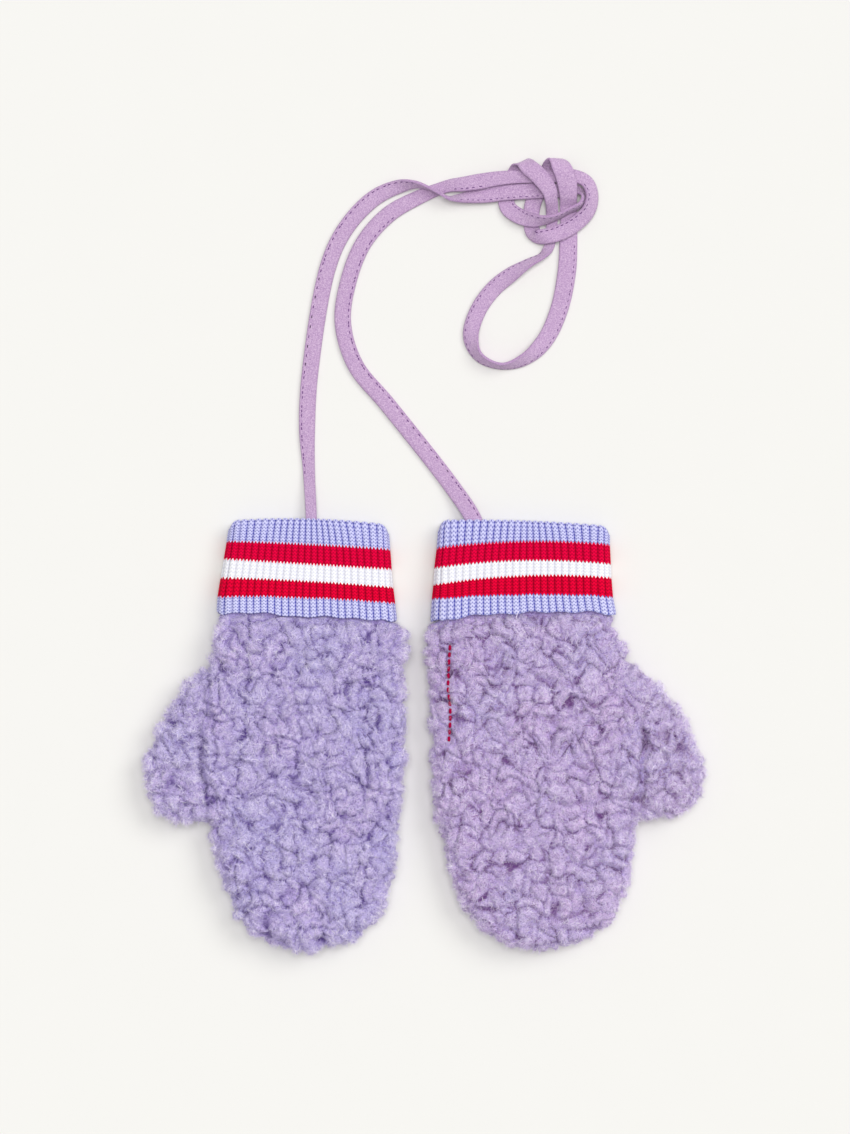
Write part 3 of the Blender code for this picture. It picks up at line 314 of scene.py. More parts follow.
# The tape's route from inside the left cuff, by way of the overhand knot and its loop, to
# inside the right one. x and y are its centreline, lift is its lower edge above the surface,
# roll turns it about its own line in degrees, and facing, where given, is the azimuth of its
# width instead, which is how it is folded over.
CORD_COLUMNS = ("x", "y", "lift", "roll", "width", "facing")
CORD_ROWS = (
    (-0.0454, 0.0702, 0.0043, 0, 0.0044),
    (-0.0452, 0.0862, 0.0036, 0, 0.0044),
    (-0.0462, 0.1054, 0.0003, 0, 0.0048),
    (-0.047, 0.123, 0.0001, 0, 0.0064),
    (-0.0458, 0.1454, 0.0001, 0, 0.0066),
    (-0.0384, 0.1886, 0.0001, 0, 0.0066),
    (-0.0312, 0.2038, 0.0001, 0, 0.0066),
    (-0.02, 0.2156, 0.0001, 0, 0.0066),
    (-0.01, 0.2202, 0.0004, 20, 0.0056),
    (-0.0036, 0.2208, 0.002, 60, 0.0044),
    (0.0016, 0.2194, 0.0022, 85, 0.0042),
    (0.006, 0.2174, 0.0021, 95, 0.0042),
    (0.01, 0.2154, 0.0016, 105, 0.0042),
    (0.0144, 0.2154, 0.0006, 130, 0.005),
    (0.0196, 0.2162, 0.0003, 155, 0.006),
    (0.0256, 0.2168, 0.0015, 172, 0.0064),
    (0.0316, 0.2176, 0.002, 180, 0.0064),
    (0.0456, 0.2184, 0.0019, 0, 0.0062),
    (0.0524, 0.2184, 0.0018, 0, 0.0058),
    (0.0578, 0.2188, 0.0006, 0, 0.005),
    (0.0624, 0.2184, 0.0001, -44, 0.004),
    (0.0642, 0.2158, 0.0009, -68, 0.0044),
    (0.0628, 0.2128, 0.002, -74, 0.0046),
    (0.058, 0.2102, 0.0021, -74, 0.0048),
    (0.0532, 0.2078, 0.0021, -72, 0.005),
    (0.0484, 0.2065, 0.00235, -58, 0.0052),
    (0.0432, 0.2066, 0.0022, -25, 0.0058),
    (0.0376, 0.2086, 0.0014, 0, 0.0064),
    (0.0338, 0.2118, 0.0004, 0, 0.0066),
    (0.033, 0.2162, 0.0001, 0, 0.0066),
    (0.0344, 0.2214, 0.0001, 0, 0.0066),
    (0.0372, 0.2262, 0.0004, 0, 0.0066),
    (0.0396, 0.2296, 0.0029, 0, 0.0066, 22),
    (0.0424, 0.2272, 0.0055, 0, 0.0069),
    (0.0468, 0.2232, 0.0054, 0, 0.007),
    (0.0502, 0.2182, 0.0044, -8, 0.0062),
    (0.051, 0.2146, 0.0029, -20, 0.0054),
    (0.0514, 0.2114, 0.0012, -10, 0.005),
    (0.0514, 0.2082, 0.00015, 0, 0.0048),
    (0.0504, 0.1966, 0.0001, 0, 0.0042),
    (0.0478, 0.1926, 0.0001, 55, 0.0042),
    (0.042, 0.1894, 0.0001, 50, 0.0052),
    (0.0352, 0.185, 0.0001, 22, 0.0064),
    (0.028, 0.1792, 0.0001, 0, 0.0066),
    (0.0216, 0.1702, 0.0001, 0, 0.0066),
    (0.0188, 0.1598, 0.0001, 25, 0.0066),
    (0.022, 0.1518, 0.0001, 60, 0.0062),
    (0.0312, 0.148, 0.0001, 75, 0.006),
    (0.0408, 0.151, 0.0001, 45, 0.0064),
    (0.0488, 0.1588, 0.0001, 8, 0.0068),
    (0.0544, 0.1712, 0.0001, 0, 0.0072),
    (0.0574, 0.1862, 0.0001, 0, 0.0074),
    (0.058, 0.197, 0.0001, 0, 0.0072),
    (0.0581, 0.2082, 0.0001, 0, 0.0068),
    (0.058, 0.2122, 0.0008, 0, 0.007),
    (0.0579, 0.2158, 0.0032, 0, 0.007),
    (0.0575, 0.2204, 0.0047, 0, 0.0078),
    (0.0558, 0.226, 0.0055, 0, 0.0078),
    (0.0524, 0.2308, 0.0029, 0, 0.0074, 2),
    (0.0498, 0.2258, 0.0002, 0, 0.0066),
    (0.0464, 0.2198, 0.0001, 0, 0.0066),
    (0.0438, 0.2134, 0.0001, 0, 0.0066),
    (0.043, 0.2074, 0.0001, 0, 0.0064),
    (0.0434, 0.2032, 0.0001, 0, 0.0062),
    (0.0448, 0.2003, 0.0013, 0, 0.0062, -52),
    (0.0492, 0.2002, 0.0023, 0, 0.0062),
    (0.0548, 0.2018, 0.0021, 0, 0.0066),
    (0.061, 0.2053, 0.0018, 10, 0.0064),
    (0.0661, 0.2106, 0.0013, 32, 0.0063),
    (0.0674, 0.2168, 0.0012, 42, 0.0064),
    (0.0652, 0.222, 0.0019, 25, 0.0056),
    (0.0596, 0.2244, 0.0026, 8, 0.0052),
    (0.0532, 0.224, 0.0032, 0, 0.0048),
    (0.0376, 0.2238, 0.0036, 0, 0.0052),
    (0.0296, 0.2232, 0.0035, 4, 0.0058),
    (0.0224, 0.222, 0.0028, 8, 0.0064),
    (0.0156, 0.221, 0.0021, 12, 0.006),
    (0.0108, 0.2206, 0.0012, 8, 0.0052),
    (0.0064, 0.2194, 0.0002, 0, 0.005),
    (-0.0024, 0.2158, 0.0001, 0, 0.0058),
    (-0.014, 0.2092, 0.0001, 0, 0.0066),
    (-0.0244, 0.1974, 0.0001, 0, 0.0066),
    (-0.0306, 0.1814, 0.0001, 0, 0.0066),
    (-0.0326, 0.1654, 0.0001, 0, 0.0066),
    (-0.0276, 0.1486, 0.0001, 0, 0.0066),
    (-0.0144, 0.1324, 0.0001, 0, 0.0066),
    (0.0112, 0.0998, 0.0006, 0, 0.0066),
    (0.02, 0.0862, 0.0036, 0, 0.0066),
    (0.0252, 0.0694, 0.0045, 0, 0.0066),
)

# Where the tape's stitching shows: first and last row of the route, and the edge it runs along.
SEAM_STRETCHES = (
    (2, 9, -1),
    (13, 19, -1),
    (21, 30, -1),
    (40, 52, 1),
    (64, 70, 1),
    (75, 77, 1),
    (80, 87, 1),
)

# The short red hand stitches on the right mitten's back, as a line from the cuff down.
STITCH_ROW = (
    (0.0104, 0.0366), (0.0098, 0.0262), (0.0096, 0.0182),
    (0.0104, 0.0122), (0.0104, 0.0050), (0.0098, -0.0026),
)

# Deep furrows between the curls that the photograph shows: a mitten's side and its points.
FURROWS = {
    "left": (
        ((-0.0862, 0.0286), (-0.0852, 0.0098), (-0.0888, -0.0018), (-0.0884, -0.0138)),
        ((-0.0884, -0.0138), (-0.0864, -0.0230), (-0.0860, -0.0338)),
    ),
    "right": (
        ((0.0828, 0.0134), (0.0876, 0.0002), (0.0864, -0.0114), (0.0868, -0.0230)),
        ((0.0868, -0.0230), (0.0872, -0.0318)),
        ((0.0856, 0.0026), (0.0912, -0.0008), (0.0956, -0.0030)),
        STITCH_ROW,
    ),
}


def linear(code):
    """A hex sRGB colour as linear RGBA."""
    channels = [int(code[k : k + 2], 16) / 255.0 for k in (1, 3, 5)]
    values = [c / 12.92 if c <= 0.04045 else ((c + 0.055) / 1.055) ** 2.4 for c in channels]
    return (*values, 1.0)


def smooth_step(value, start, end):
    """0 up to the start and 1 from the end on, with a soft rise between them."""
    t = np.clip((np.asarray(value, float) - start) / (end - start), 0.0, 1.0)
    return t * t * (3.0 - 2.0 * t)


def fading(distance, reach):
    """1 on a line, falling off softly within the reach."""
    return np.exp(-((distance / reach) ** 2))


def unit(vectors):
    """The vectors at length 1."""
    return vectors / np.linalg.norm(vectors, axis=-1, keepdims=True)


def square_to(vectors, normals):
    """The vectors without their part along the normals."""
    return vectors - normals * (vectors * normals).sum(axis=-1, keepdims=True)


def padded(points):
    """The points with one more before the first and after the last, carried straight on."""
    points = np.asarray(points, float)
    return np.vstack([2 * points[0] - points[1], points, 2 * points[-1] - points[-2]])


def catmull_rom(points, steps):
    """A smooth open curve through points, with steps samples to each span."""
    points = padded(points)
    t = np.linspace(0.0, 1.0, steps, endpoint=False)[:, None]
    spans = []
    for p0, p1, p2, p3 in zip(points, points[1:], points[2:], points[3:]):
        bend = (2 * p0 - 5 * p1 + 4 * p2 - p3) * t**2 + (3 * p1 - p0 - 3 * p2 + p3) * t**3
        spans.append(0.5 * (2 * p1 + (p2 - p0) * t + bend))
    return np.vstack(spans + [points[-2:-1]])


def centripetal(points, steps):
    """A curve through points that doesn't overshoot where they lie close together."""
    points = padded(points)
    curve = []
    for p0, p1, p2, p3 in zip(points, points[1:], points[2:], points[3:]):
        t1 = math.sqrt(np.linalg.norm(p1 - p0))
        t2 = t1 + math.sqrt(np.linalg.norm(p2 - p1))
        t3 = t2 + math.sqrt(np.linalg.norm(p3 - p2))
        for t in np.linspace(t1, t2, steps, endpoint=False):
            a1 = ((t1 - t) * p0 + t * p1) / t1
            a2 = ((t2 - t) * p1 + (t - t1) * p2) / (t2 - t1)
            a3 = ((t3 - t) * p2 + (t - t2) * p3) / (t3 - t2)
            b1 = ((t2 - t) * a1 + t * a2) / t2
            b2 = ((t3 - t) * a2 + (t - t1) * a3) / (t3 - t1)
            curve.append(((t2 - t) * b1 + (t - t1) * b2) / (t2 - t1))
    return np.vstack(curve + [points[-2:-1]])


def lengths_along(line):
    """Distance along the line from its start to each of its points."""
    steps = np.linalg.norm(np.diff(line, axis=0), axis=1)
    return np.concatenate([[0.0], np.cumsum(steps)])


def resample(line, step):
    """The same open line with points about one step apart."""
    line = np.asarray(line, float)
    along = lengths_along(line)
    wanted = np.linspace(0.0, along[-1], max(2, round(along[-1] / step) + 1))
    return np.stack([np.interp(wanted, along, column) for column in line.T], axis=1)


def segments_of(line, closed=False):
    """The straight pieces of a line, each as its two ends."""
    line = np.asarray(line, float)
    if closed:
        line = np.vstack([line, line[:1]])
    return np.stack([line[:-1], line[1:]], axis=1)


def in_blocks(points):
    """The points in blocks of about 3000, so that a table over them stays small."""
    return np.array_split(np.asarray(points, float), len(points) // 3000 + 1)


def edge_distance(points, segments):
    """Distance in plan from each point to the nearest of the segments."""
    start, run = segments[None, :, 0], segments[None, :, 1] - segments[None, :, 0]
    found = []
    for block in in_blocks(points):
        away = block[:, None, :2] - start
        t = np.clip((away * run).sum(-1) / (run**2).sum(-1), 0.0, 1.0)
        found.append(np.linalg.norm(away - t[..., None] * run, axis=-1).min(axis=1))
    return np.concatenate(found)


def inside(points, outline):
    """True for each point that lies inside the closed outline."""
    x0, y0 = outline.T
    x1, y1 = np.roll(x0, -1), np.roll(y0, -1)
    drop = np.where(y1 == y0, 1.0, y1 - y0)
    found = []
    for block in in_blocks(points):
        x, y = block[:, 0, None], block[:, 1, None]
        crosses = ((y0 > y) != (y1 > y)) & (x < (x1 - x0) * (y - y0) / drop + x0)
        found.append(crosses.sum(axis=1) % 2 == 1)
    return np.concatenate(found)


def soft_noise(points, wavelength, seed, waves=7):
    """A smooth random field over the plan, about -1 to 1."""
    rng = np.random.default_rng(seed)
    total = np.zeros(len(points))
    for _ in range(waves):
        angle, phase = rng.uniform(0.0, 2.0 * math.pi, 2)
        reach = wavelength * rng.uniform(0.65, 1.5)
        ahead = np.array([math.cos(angle), math.sin(angle)]) * 2.0 * math.pi / reach
        total += np.sin(points[:, :2] @ ahead + phase)
    return total / math.sqrt(waves)


def wander(points, bends, seed):
    """Shift points along smooth fields, so that cells laid on them bend and swirl."""
    points = points[:, :2]
    for wavelength, amount, more in bends:
        shifts = [soft_noise(points, wavelength, seed + more + axis) * amount for axis in (0, 1)]
        points = points + np.stack(shifts, axis=1)
    return points


def cells(points, pitch, seed):
    """Uneven puffs: height, 0 in a furrow to 1 on a crown, distance to the border, number."""
    cell = np.floor(points / pitch).astype(int)
    nearest = np.full(len(points), np.inf)
    second = np.full(len(points), np.inf)
    number = np.zeros(len(points))
    for dx in range(-2, 3):
        for dy in range(-2, 3):
            home = cell + (dx, dy)
            mixed = home[:, 0] * SCATTER_PRIMES[0] + home[:, 1] * SCATTER_PRIMES[1]
            mixed += seed * SCATTER_PRIMES[2]
            draws = [np.modf(np.abs(np.sin(mixed * k) * SCATTER))[0] for k in SCATTER_DRAWS]
            place = (home + 0.5 + CELL_SHIFT * (np.stack(draws[:2], axis=1) - 0.5)) * pitch
            x, y = (points - place).T
            cos, sin = np.cos(draws[2] * CELL_TURNS), np.sin(draws[2] * CELL_TURNS)
            away = np.hypot((x * cos + y * sin) / CELL_STRETCH, (y * cos - x * sin) * CELL_STRETCH)
            away /= CELL_SIZES[0] + CELL_SIZES[1] * draws[0]
            closer = away < nearest
            second = np.where(closer, nearest, np.minimum(second, away))
            number = np.where(closer, draws[2], number)
            nearest = np.minimum(nearest, away)
    soft = FURROW_ROUND * pitch
    apart = np.sqrt((second - nearest) ** 2 + soft**2) - soft
    across = np.clip(apart / (CROWN_REACH * pitch), 0.0, 1.0)
    dome = np.clip(1.0 - (nearest / (DOME_REACH * pitch)) ** 2, 0.0, 1.0)
    height = CROWN_SHARES[0] * (1.0 - (1.0 - across) ** 2) + CROWN_SHARES[1] * dome
    return height, apart / pitch, number


def add_node(tree, kind, inputs=(), output=0, stops=(), stepped=False, **settings):
    """Add a node with its settings and links, and return one of its outputs.

    Inputs are values or other nodes' outputs, in the node's order or by their name or number.
    Stops are the places and colours of a colour ramp, which changes in steps or evenly.
    """
    node = tree.nodes.new(f"ShaderNode{kind}")
    for name, value in settings.items():
        setattr(node, name, value)
    for key, value in inputs.items() if isinstance(inputs, dict) else enumerate(inputs):
        if isinstance(value, bpy.types.NodeSocket):
            tree.links.new(value, node.inputs[key])
        else:
            node.inputs[key].default_value = value
    if stops:
        node.color_ramp.interpolation = "CONSTANT" if stepped else "LINEAR"
        elements = node.color_ramp.elements
        while len(elements) < len(stops):
            elements.new(0.5)
        for element, (place, colour) in zip(elements, stops):
            element.position = place
            element.color = linear(colour) if isinstance(colour, str) else colour
    return node.outputs[output] if len(node.outputs) else node


# A mix node's colour sockets by number, and its settings for colours.
FACTOR, ONE, TWO = 0, 6, 7
MIXED = {"output": 2, "data_type": "RGBA"}


def new_material(name):
    """An empty material, and the tree to build in."""
    material = bpy.data.materials.new(name)
    material.use_nodes = True
    material.node_tree.nodes.clear()
    return material, material.node_tree


def finish_material(material, inputs):
    """End the material in a shader with these inputs."""
    shader = add_node(material.node_tree, "BsdfPrincipled", inputs)
    add_node(material.node_tree, "OutputMaterial", {"Surface": shader})
    return material


def fleece_colours(side, colours):
    """One mitten's colours of crown, middle and furrow."""
    return [getattr(colours, f"{side}_{part}") for part in ("crown", "middle", "furrow")]


def fleece_material(side, colours):
    """Acrylic pile fleece, knitted, brushed and tumbled to curl.

    The colour is painted shade by depth: palest on the crowns and darkest in the deep furrows
    between the curls. The fine noise gives the streaks of fibres, 1.2 mm across so that they show.
    """
    crown, middle, furrow = fleece_colours(side, colours)
    material, tree = new_material(f"pile_fleece_{side}")
    place = add_node(tree, "TexCoord", output="Object")
    depth = add_node(tree, "Attribute", output="Fac", attribute_name="depth")
    inputs = {"Vector": place, "Scale": 1.0 / (1.2 * MM), "Detail": 3.0, "Distortion": 2.2}
    fibres = add_node(tree, "TexNoise", inputs)
    patches = add_node(tree, "TexNoise", {"Vector": place, "Scale": 1.0 / (22.0 * MM)})
    # Painted shade by depth, from the crown colour down to the furrow colour.
    stops = ((0.0, crown), (0.45, middle), (1.0, furrow))
    colour = add_node(tree, "ValToRGB", (depth,), stops=stops)
    shades = (
        (fibres, 0.80, ((0.32, "#8C80AE"), (0.50, "#DAD4EA"), (0.66, "#FFFFFF"))),
        (patches, 0.55, ((0.35, "#E4E6FA"), (0.65, "#F8E6FA"))),
    )
    for pattern, share, stops in shades:
        shade = add_node(tree, "ValToRGB", (pattern,), stops=stops)
        inputs = {FACTOR: share, ONE: colour, TWO: shade}
        colour = add_node(tree, "Mix", inputs, blend_type="MULTIPLY", **MIXED)
    bump = add_node(tree, "Bump", {"Height": fibres, "Strength": 1.0, "Distance": 0.9 * MM})
    sheen = {"Sheen Weight": 0.35, "Sheen Roughness": 0.6, "Sheen Tint": linear("#EDE6FA")}
    inputs = {"Base Color": colour, "Roughness": 1.0, "Normal": bump, **sheen}
    return finish_material(material, inputs)


def strand_material(side, colours):
    """Single curled fibres: paler or darker one by one, with painted shade in the furrows; matt, soft
    sheen.
    """
    _, middle, furrow = fleece_colours(side, colours)
    material, tree = new_material(f"pile_fibres_{side}")
    tone, depth = (
        add_node(tree, "Attribute", output="Fac", attribute_name=name) for name in ("tone", "depth")
    )
    stops = ((0.0, furrow), (0.5, middle), (1.0, colours.fibre_tip))
    fibre = add_node(tree, "ValToRGB", (tone,), stops=stops)
    colour = add_node(tree, "Mix", {FACTOR: depth, ONE: fibre, TWO: furrow}, **MIXED)
    sheen = {"Sheen Weight": 0.3, "Sheen Roughness": 0.5, "Sheen Tint": linear("#F4EEFF")}
    return finish_material(material, {"Base Color": colour, "Roughness": 0.9, **sheen})


def rib_material(colours):
    """Cotton rib knitted in bands of dyed yarn.

    Each rib is two columns of small V stitches: the yarn shows its own colour, the holes between
    the stitches and the grooves between the ribs get painted shade, and a change of yarn steps at
    each stitch.
    The stitches are 1.35 mm high, a little taller than real ones, and the yarn's fuzz is 0.5 mm
    across, many fibres broad, so that they show.
    """
    material, tree = new_material("rib_knit_banded")
    place = add_node(tree, "TexCoord", output="Object")
    rib, course, band = (
        add_node(tree, "Attribute", output="Fac", attribute_name=name)
        for name in ("rib", "course", "band")
    )
    columns = add_node(tree, "Math", (rib, 2.0), operation="MULTIPLY")
    wale = add_node(tree, "Math", (columns,), operation="FRACT")
    off_middle = add_node(tree, "Math", (wale, 0.5), operation="SUBTRACT")
    slant = add_node(tree, "Math", (off_middle,), operation="ABSOLUTE")
    stagger = add_node(tree, "Math", (slant, *STITCH_STAGGER), operation="MULTIPLY_ADD")
    stepped = add_node(tree, "Math", (band, stagger), operation="ADD")
    share = add_node(tree, "Math", (stepped, float(BANDS)), operation="DIVIDE")
    yarn, shade = (
        add_node(
            tree,
            "ValToRGB",
            (share,),
            stops=[(k / BANDS, getattr(colours, f"{part}_{k + 1}")) for k in range(BANDS)],
            stepped=True,
        )
        for part in ("yarn", "shade")
    )
    rise = add_node(tree, "Math", (slant, course), operation="ADD")
    turn = add_node(tree, "Math", (rise, 2.0 * math.pi), operation="MULTIPLY")
    wave = add_node(tree, "Math", (turn,), operation="SINE")
    lift = add_node(tree, "Math", (wave, 0.5, 0.5), operation="MULTIPLY_ADD")
    # Painted shade in the holes between the stitches, beating in strength across each column.
    edges = add_node(tree, "Math", (lift, *HOLE_EDGE), operation="MULTIPLY_ADD", use_clamp=True)
    sides = add_node(tree, "Math", (wale, 4.0 * math.pi), operation="MULTIPLY")
    beat = add_node(tree, "Math", (sides,), operation="COSINE")
    strength = add_node(tree, "Math", (beat, *HOLE_BEAT), operation="MULTIPLY_ADD")
    holes = add_node(tree, "Math", (edges, strength), operation="MULTIPLY")
    over_rib = add_node(tree, "Math", (rib,), operation="FRACT")
    from_crown = add_node(tree, "Math", (over_rib, 0.5), operation="SUBTRACT")
    out = add_node(tree, "Math", (from_crown,), operation="ABSOLUTE")
    across = add_node(tree, "Math", (out, 2.0), operation="MULTIPLY")
    # Painted shade in the grooves between the ribs, made uneven from rib to rib by a noise.
    groove_shade_noise = add_node(tree, "TexNoise", {"Vector": place, "Scale": 1.0 / (6.0 * MM)})
    uneven = add_node(
        tree, "Math", (groove_shade_noise, *GROOVE_SHADE_UNEVEN), operation="MULTIPLY_ADD", use_clamp=True
    )
    sharp = add_node(tree, "Math", (across, GROOVE_SHADE_POWER), operation="POWER")
    groove_shade = add_node(tree, "Math", (sharp, uneven), operation="MULTIPLY")
    # Holes and grooves together give the painted shade that mixes the yarn towards its shade colour.
    dark = add_node(
        tree, "Math", (holes, HOLE_PAINTED_SHADE, groove_shade), operation="MULTIPLY_ADD", use_clamp=True
    )
    fuzz = add_node(tree, "TexNoise", {"Vector": place, "Scale": 1.0 / (0.5 * MM)})
    fibre = add_node(tree, "ValToRGB", (fuzz,), stops=((0.3, "#CFCFDA"), (0.7, "#FFFFFF")))
    knit = add_node(tree, "Mix", {FACTOR: dark, ONE: yarn, TWO: shade}, **MIXED)
    inputs = {FACTOR: 0.2, ONE: knit, TWO: fibre}
    colour = add_node(tree, "Mix", inputs, blend_type="MULTIPLY", **MIXED)
    relief = add_node(tree, "Math", (fuzz, 0.4, lift), operation="MULTIPLY_ADD")
    bump = add_node(tree, "Bump", {"Height": relief, "Strength": 0.5, "Distance": 0.2 * MM})
    inputs = {"Base Color": colour, "IOR": 1.15, "Roughness": 0.9, "Normal": bump}
    return finish_material(material, inputs)


def tape_material(colours):
    """Cotton jersey tape, folded and stitched: fine wales along it, soft, a little heathered.

    Its loops are 0.7 mm long and its heather 0.5 mm across, coarser than real ones, so that they
    show.
    """
    material, tree = new_material("jersey_tape")
    place = add_node(tree, "TexCoord", output="Object")
    along, across = (
        add_node(tree, "Attribute", output="Fac", attribute_name=name)
        for name in ("along", "across")
    )
    waves = []
    for value, turns in ((across, TAPE_WALES * math.pi), (along, 2.0 * math.pi / (0.7 * MM))):
        turn = add_node(tree, "Math", (value, turns), operation="MULTIPLY")
        waves.append(add_node(tree, "Math", (turn,), operation="SINE"))
    grain = add_node(tree, "Math", waves, operation="MULTIPLY")
    heather = add_node(tree, "TexNoise", {"Vector": place, "Scale": 1.0 / (0.5 * MM)})
    stops = ((0.3, colours.tape_dark), (0.5, colours.tape), (0.7, colours.tape_pale))
    colour = add_node(tree, "ValToRGB", (heather,), stops=stops)
    # Painted shade along both edges of the tape.
    off_middle = add_node(tree, "Math", (across,), operation="ABSOLUTE")
    edge = add_node(tree, "Math", (off_middle, 9.0), operation="POWER")
    share = add_node(tree, "Math", (edge, 0.5), operation="MULTIPLY")
    inputs = {FACTOR: share, ONE: colour, TWO: linear("#9C74A6")}
    colour = add_node(tree, "Mix", inputs, **MIXED)
    relief = add_node(tree, "Math", (grain, 0.3, heather), operation="MULTIPLY_ADD")
    bump = add_node(tree, "Bump", {"Height": relief, "Strength": 0.8, "Distance": 0.3 * MM})
    inputs = {"Base Color": colour, "Roughness": 0.85, "Normal": bump}
    return finish_material(material, {**inputs, "Sheen Weight": 0.2, "Sheen Roughness": 0.5})


def thread_material(name, colour):
    """Sewing thread, twisted cotton: its own colour, with painted shade in the hollows of its twist.
    """
    material, tree = new_material(name)
    place = add_node(tree, "TexCoord", output="Object")
    twist = add_node(tree, "TexNoise", {"Vector": place, "Scale": 1.0 / (0.4 * MM), "Detail": 1.0})
    # Painted shade in the hollows of the twist, mixed towards black.
    share = add_node(tree, "Math", (twist, 0.5), operation="MULTIPLY")
    inputs = {FACTOR: share, ONE: colour, TWO: linear("#000000")}
    shaded = add_node(tree, "Mix", inputs, **MIXED)
    return finish_material(material, {"Base Color": shaded, "IOR": 1.2, "Roughness": 0.8})


def surface_material(colours):
    """Matt off-white paper, even, with a very faint mottle."""
    material, tree = new_material("paper_surface")
    place = add_node(tree, "TexCoord", output="Object")
    grain = add_node(tree, "TexNoise", {"Vector": place, "Scale": 1.0 / (30.0 * MM)})
    stops = ((0.0, colours.surface), (1.0, "#EDECE8"))
    mottle = add_node(tree, "ValToRGB", (grain,), stops=stops)
    return finish_material(material, {"Base Color": mottle, "Roughness": 0.95})


def make_mesh(name, points, faces, material, **values):
    """A smooth mesh object, with a float value on each point for each keyword."""
    mesh = bpy.data.meshes.new(name)
    mesh.from_pydata(np.asarray(points, float).tolist(), [], faces)
    for key, numbers in values.items():
        layer = mesh.attributes.new(key, "FLOAT", "POINT")
        layer.data.foreach_set("value", np.asarray(numbers, np.float32))
    mesh.materials.append(material)
    mesh.shade_smooth()
    obj = bpy.data.objects.new(name, mesh)
    bpy.context.scene.collection.objects.link(obj)
    return obj


def place_piece(obj, nodes=()):
    """Let a piece ride on the model's body and stand for its solids, which it hides."""
    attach(obj, "root")
    if nodes:
        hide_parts(*nodes)


def grid_faces(rows, columns):
    """Quads over rows of points, each row closed on itself."""
    start = np.arange(rows - 1)[:, None] * columns
    here = np.arange(columns)[None]
    after = (here + 1) % columns
    quads = [start + here, start + after, start + columns + after, start + columns + here]
    return np.stack(quads, axis=-1).reshape(-1, 4)


class Cuff:
    """The flattened rib tube. down is the distance from its mouth, towards the fingertips."""

    def __init__(self, side):
        self.rows = np.array(CUFF_ROWS[side], float)
        middle = self.rows[:, CUFF_COLUMNS.index("y_middle")]
        self.stations = middle[0] - middle
        self.length = self.stations[-1]

    def section(self, down):
        """The tube's measures at a distance from its mouth."""
        values = [np.interp(down, self.stations, column) for column in self.rows.T]
        row = dict(zip(CUFF_COLUMNS, values))
        row["centre"] = (row["left"] + row["right"]) / 2.0
        row["half"] = (row["right"] - row["left"]) / 2.0
        return row

    def y_at(self, down, across):
        """Height in the plan of the row at down, where across runs from -1 to 1."""
        row = self.section(down)
        tilt = (row["y_right"] - row["y_left"]) / 2.0
        arch = (row["y_right"] + row["y_left"]) / 2.0 - row["y_middle"]
        start = np.maximum(0.0, np.abs(across) - CUFF_CORNER_START) / (1.0 - CUFF_CORNER_START)
        turned = 1.0 - np.sqrt(np.maximum(0.0, 1.0 - start**2))
        corner = CUFF_CORNER * np.exp(-down / CUFF_CORNER_FADE) * turned
        return row["y_middle"] + tilt * across + arch * across**2 - corner

    def points(self, down, along, angle, depth):
        """Points depth inside the smooth outer face; along is -1 to 1 on the flat stretch."""
        row = self.section(down)
        radius = row["thick"] / 2.0 - depth
        flat = row["half"] - row["thick"] / 2.0
        most = np.where(along > 0.0, *RIB_LEAN)
        lean = most * np.sin(math.pi * along) * math.exp(-down / RIB_LEAN_FADE)
        offset = flat * along + radius * np.cos(angle) - lean
        across = np.clip(offset / row["half"], -1.0, 1.0)
        upper = np.abs(angle - math.pi / 2.0) < 1e-6
        height = row["thick"] / 2.0 + radius * np.sin(angle)
        height += CUFF_CROWN * (1.0 - along**2) * upper
        return np.stack([row["centre"] + offset, self.y_at(down, across), height], axis=1)

    def hollow_depth(self, down):
        """Distance from the outer face to the hollow that a hand goes into."""
        return (self.section(down)["thick"] - CUFF_HOLLOW) / 2.0


def rib_columns(per_rib):
    """Round the tube: along, angle, rib number with its fraction, and how far ribs stand out."""
    quarter = math.pi / 2.0
    flat, end = RIB_COUNT_FLAT * per_rib, RIB_COUNT_END * per_rib
    top, side, under = (np.arange(n) / n for n in (flat, end, flat // 2))
    turned = RIB_COUNT_FLAT + RIB_COUNT_END
    columns = (
        (2.0 * top - 1.0, quarter, top * RIB_COUNT_FLAT, 1.0),
        (1.0, quarter - END_ARC * side, RIB_COUNT_FLAT + side * RIB_COUNT_END, 1.0 - side**2),
        (1.0 - 2.0 * under, -quarter, turned + under * RIB_COUNT_FLAT, 0.0),
        (
            -1.0,
            END_ARC - 3.0 * quarter - END_ARC * side,
            turned + RIB_COUNT_FLAT + side * RIB_COUNT_END,
            1.0 - (1.0 - side) ** 2,
        ),
    )
    stretches = [np.broadcast_arrays(*stretch) for stretch in columns]
    return tuple(np.concatenate(values) for values in zip(*stretches))


def cuff_rings(cuff, row_step):
    """The wall's rows round and round: distance down, depth, share of the ribs and of the fold."""
    fold_depth, end = cuff.hollow_depth(0.0), cuff.length - CUFF_TUCK
    up, depth, share = HEM_LIP
    rings = [(cuff.length - up, depth, share, 0.0)]
    for down in np.arange(cuff.length, FOLD_REACH, -row_step):
        depth = HEM_ROUND * math.exp(-(cuff.length - down) / HEM_ROUND_FADE)
        rings.append((down, depth, 1.0, 0.0))
    for turn in np.linspace(0.0, math.pi, FOLD_STEPS):
        out, back = math.sin(turn), (1.0 - math.cos(turn)) / 2.0
        rings.append((FOLD_REACH * (1.0 - out), fold_depth * back, 1.0 - back, out**0.7))
    plain = [(down, cuff.hollow_depth(down)) for down in (end / 2.0, end)]
    for down in (end, end / 2.0, FOLD_REACH):
        plain.append((down, cuff.hollow_depth(down) - CUFF_INNER_LAYER))
    plain += [(down, CUFF_LAYER) for down in (FOLD_REACH, end / 2.0, cuff.length)]
    return rings + [(*row, 0.0, 0.0) for row in plain]


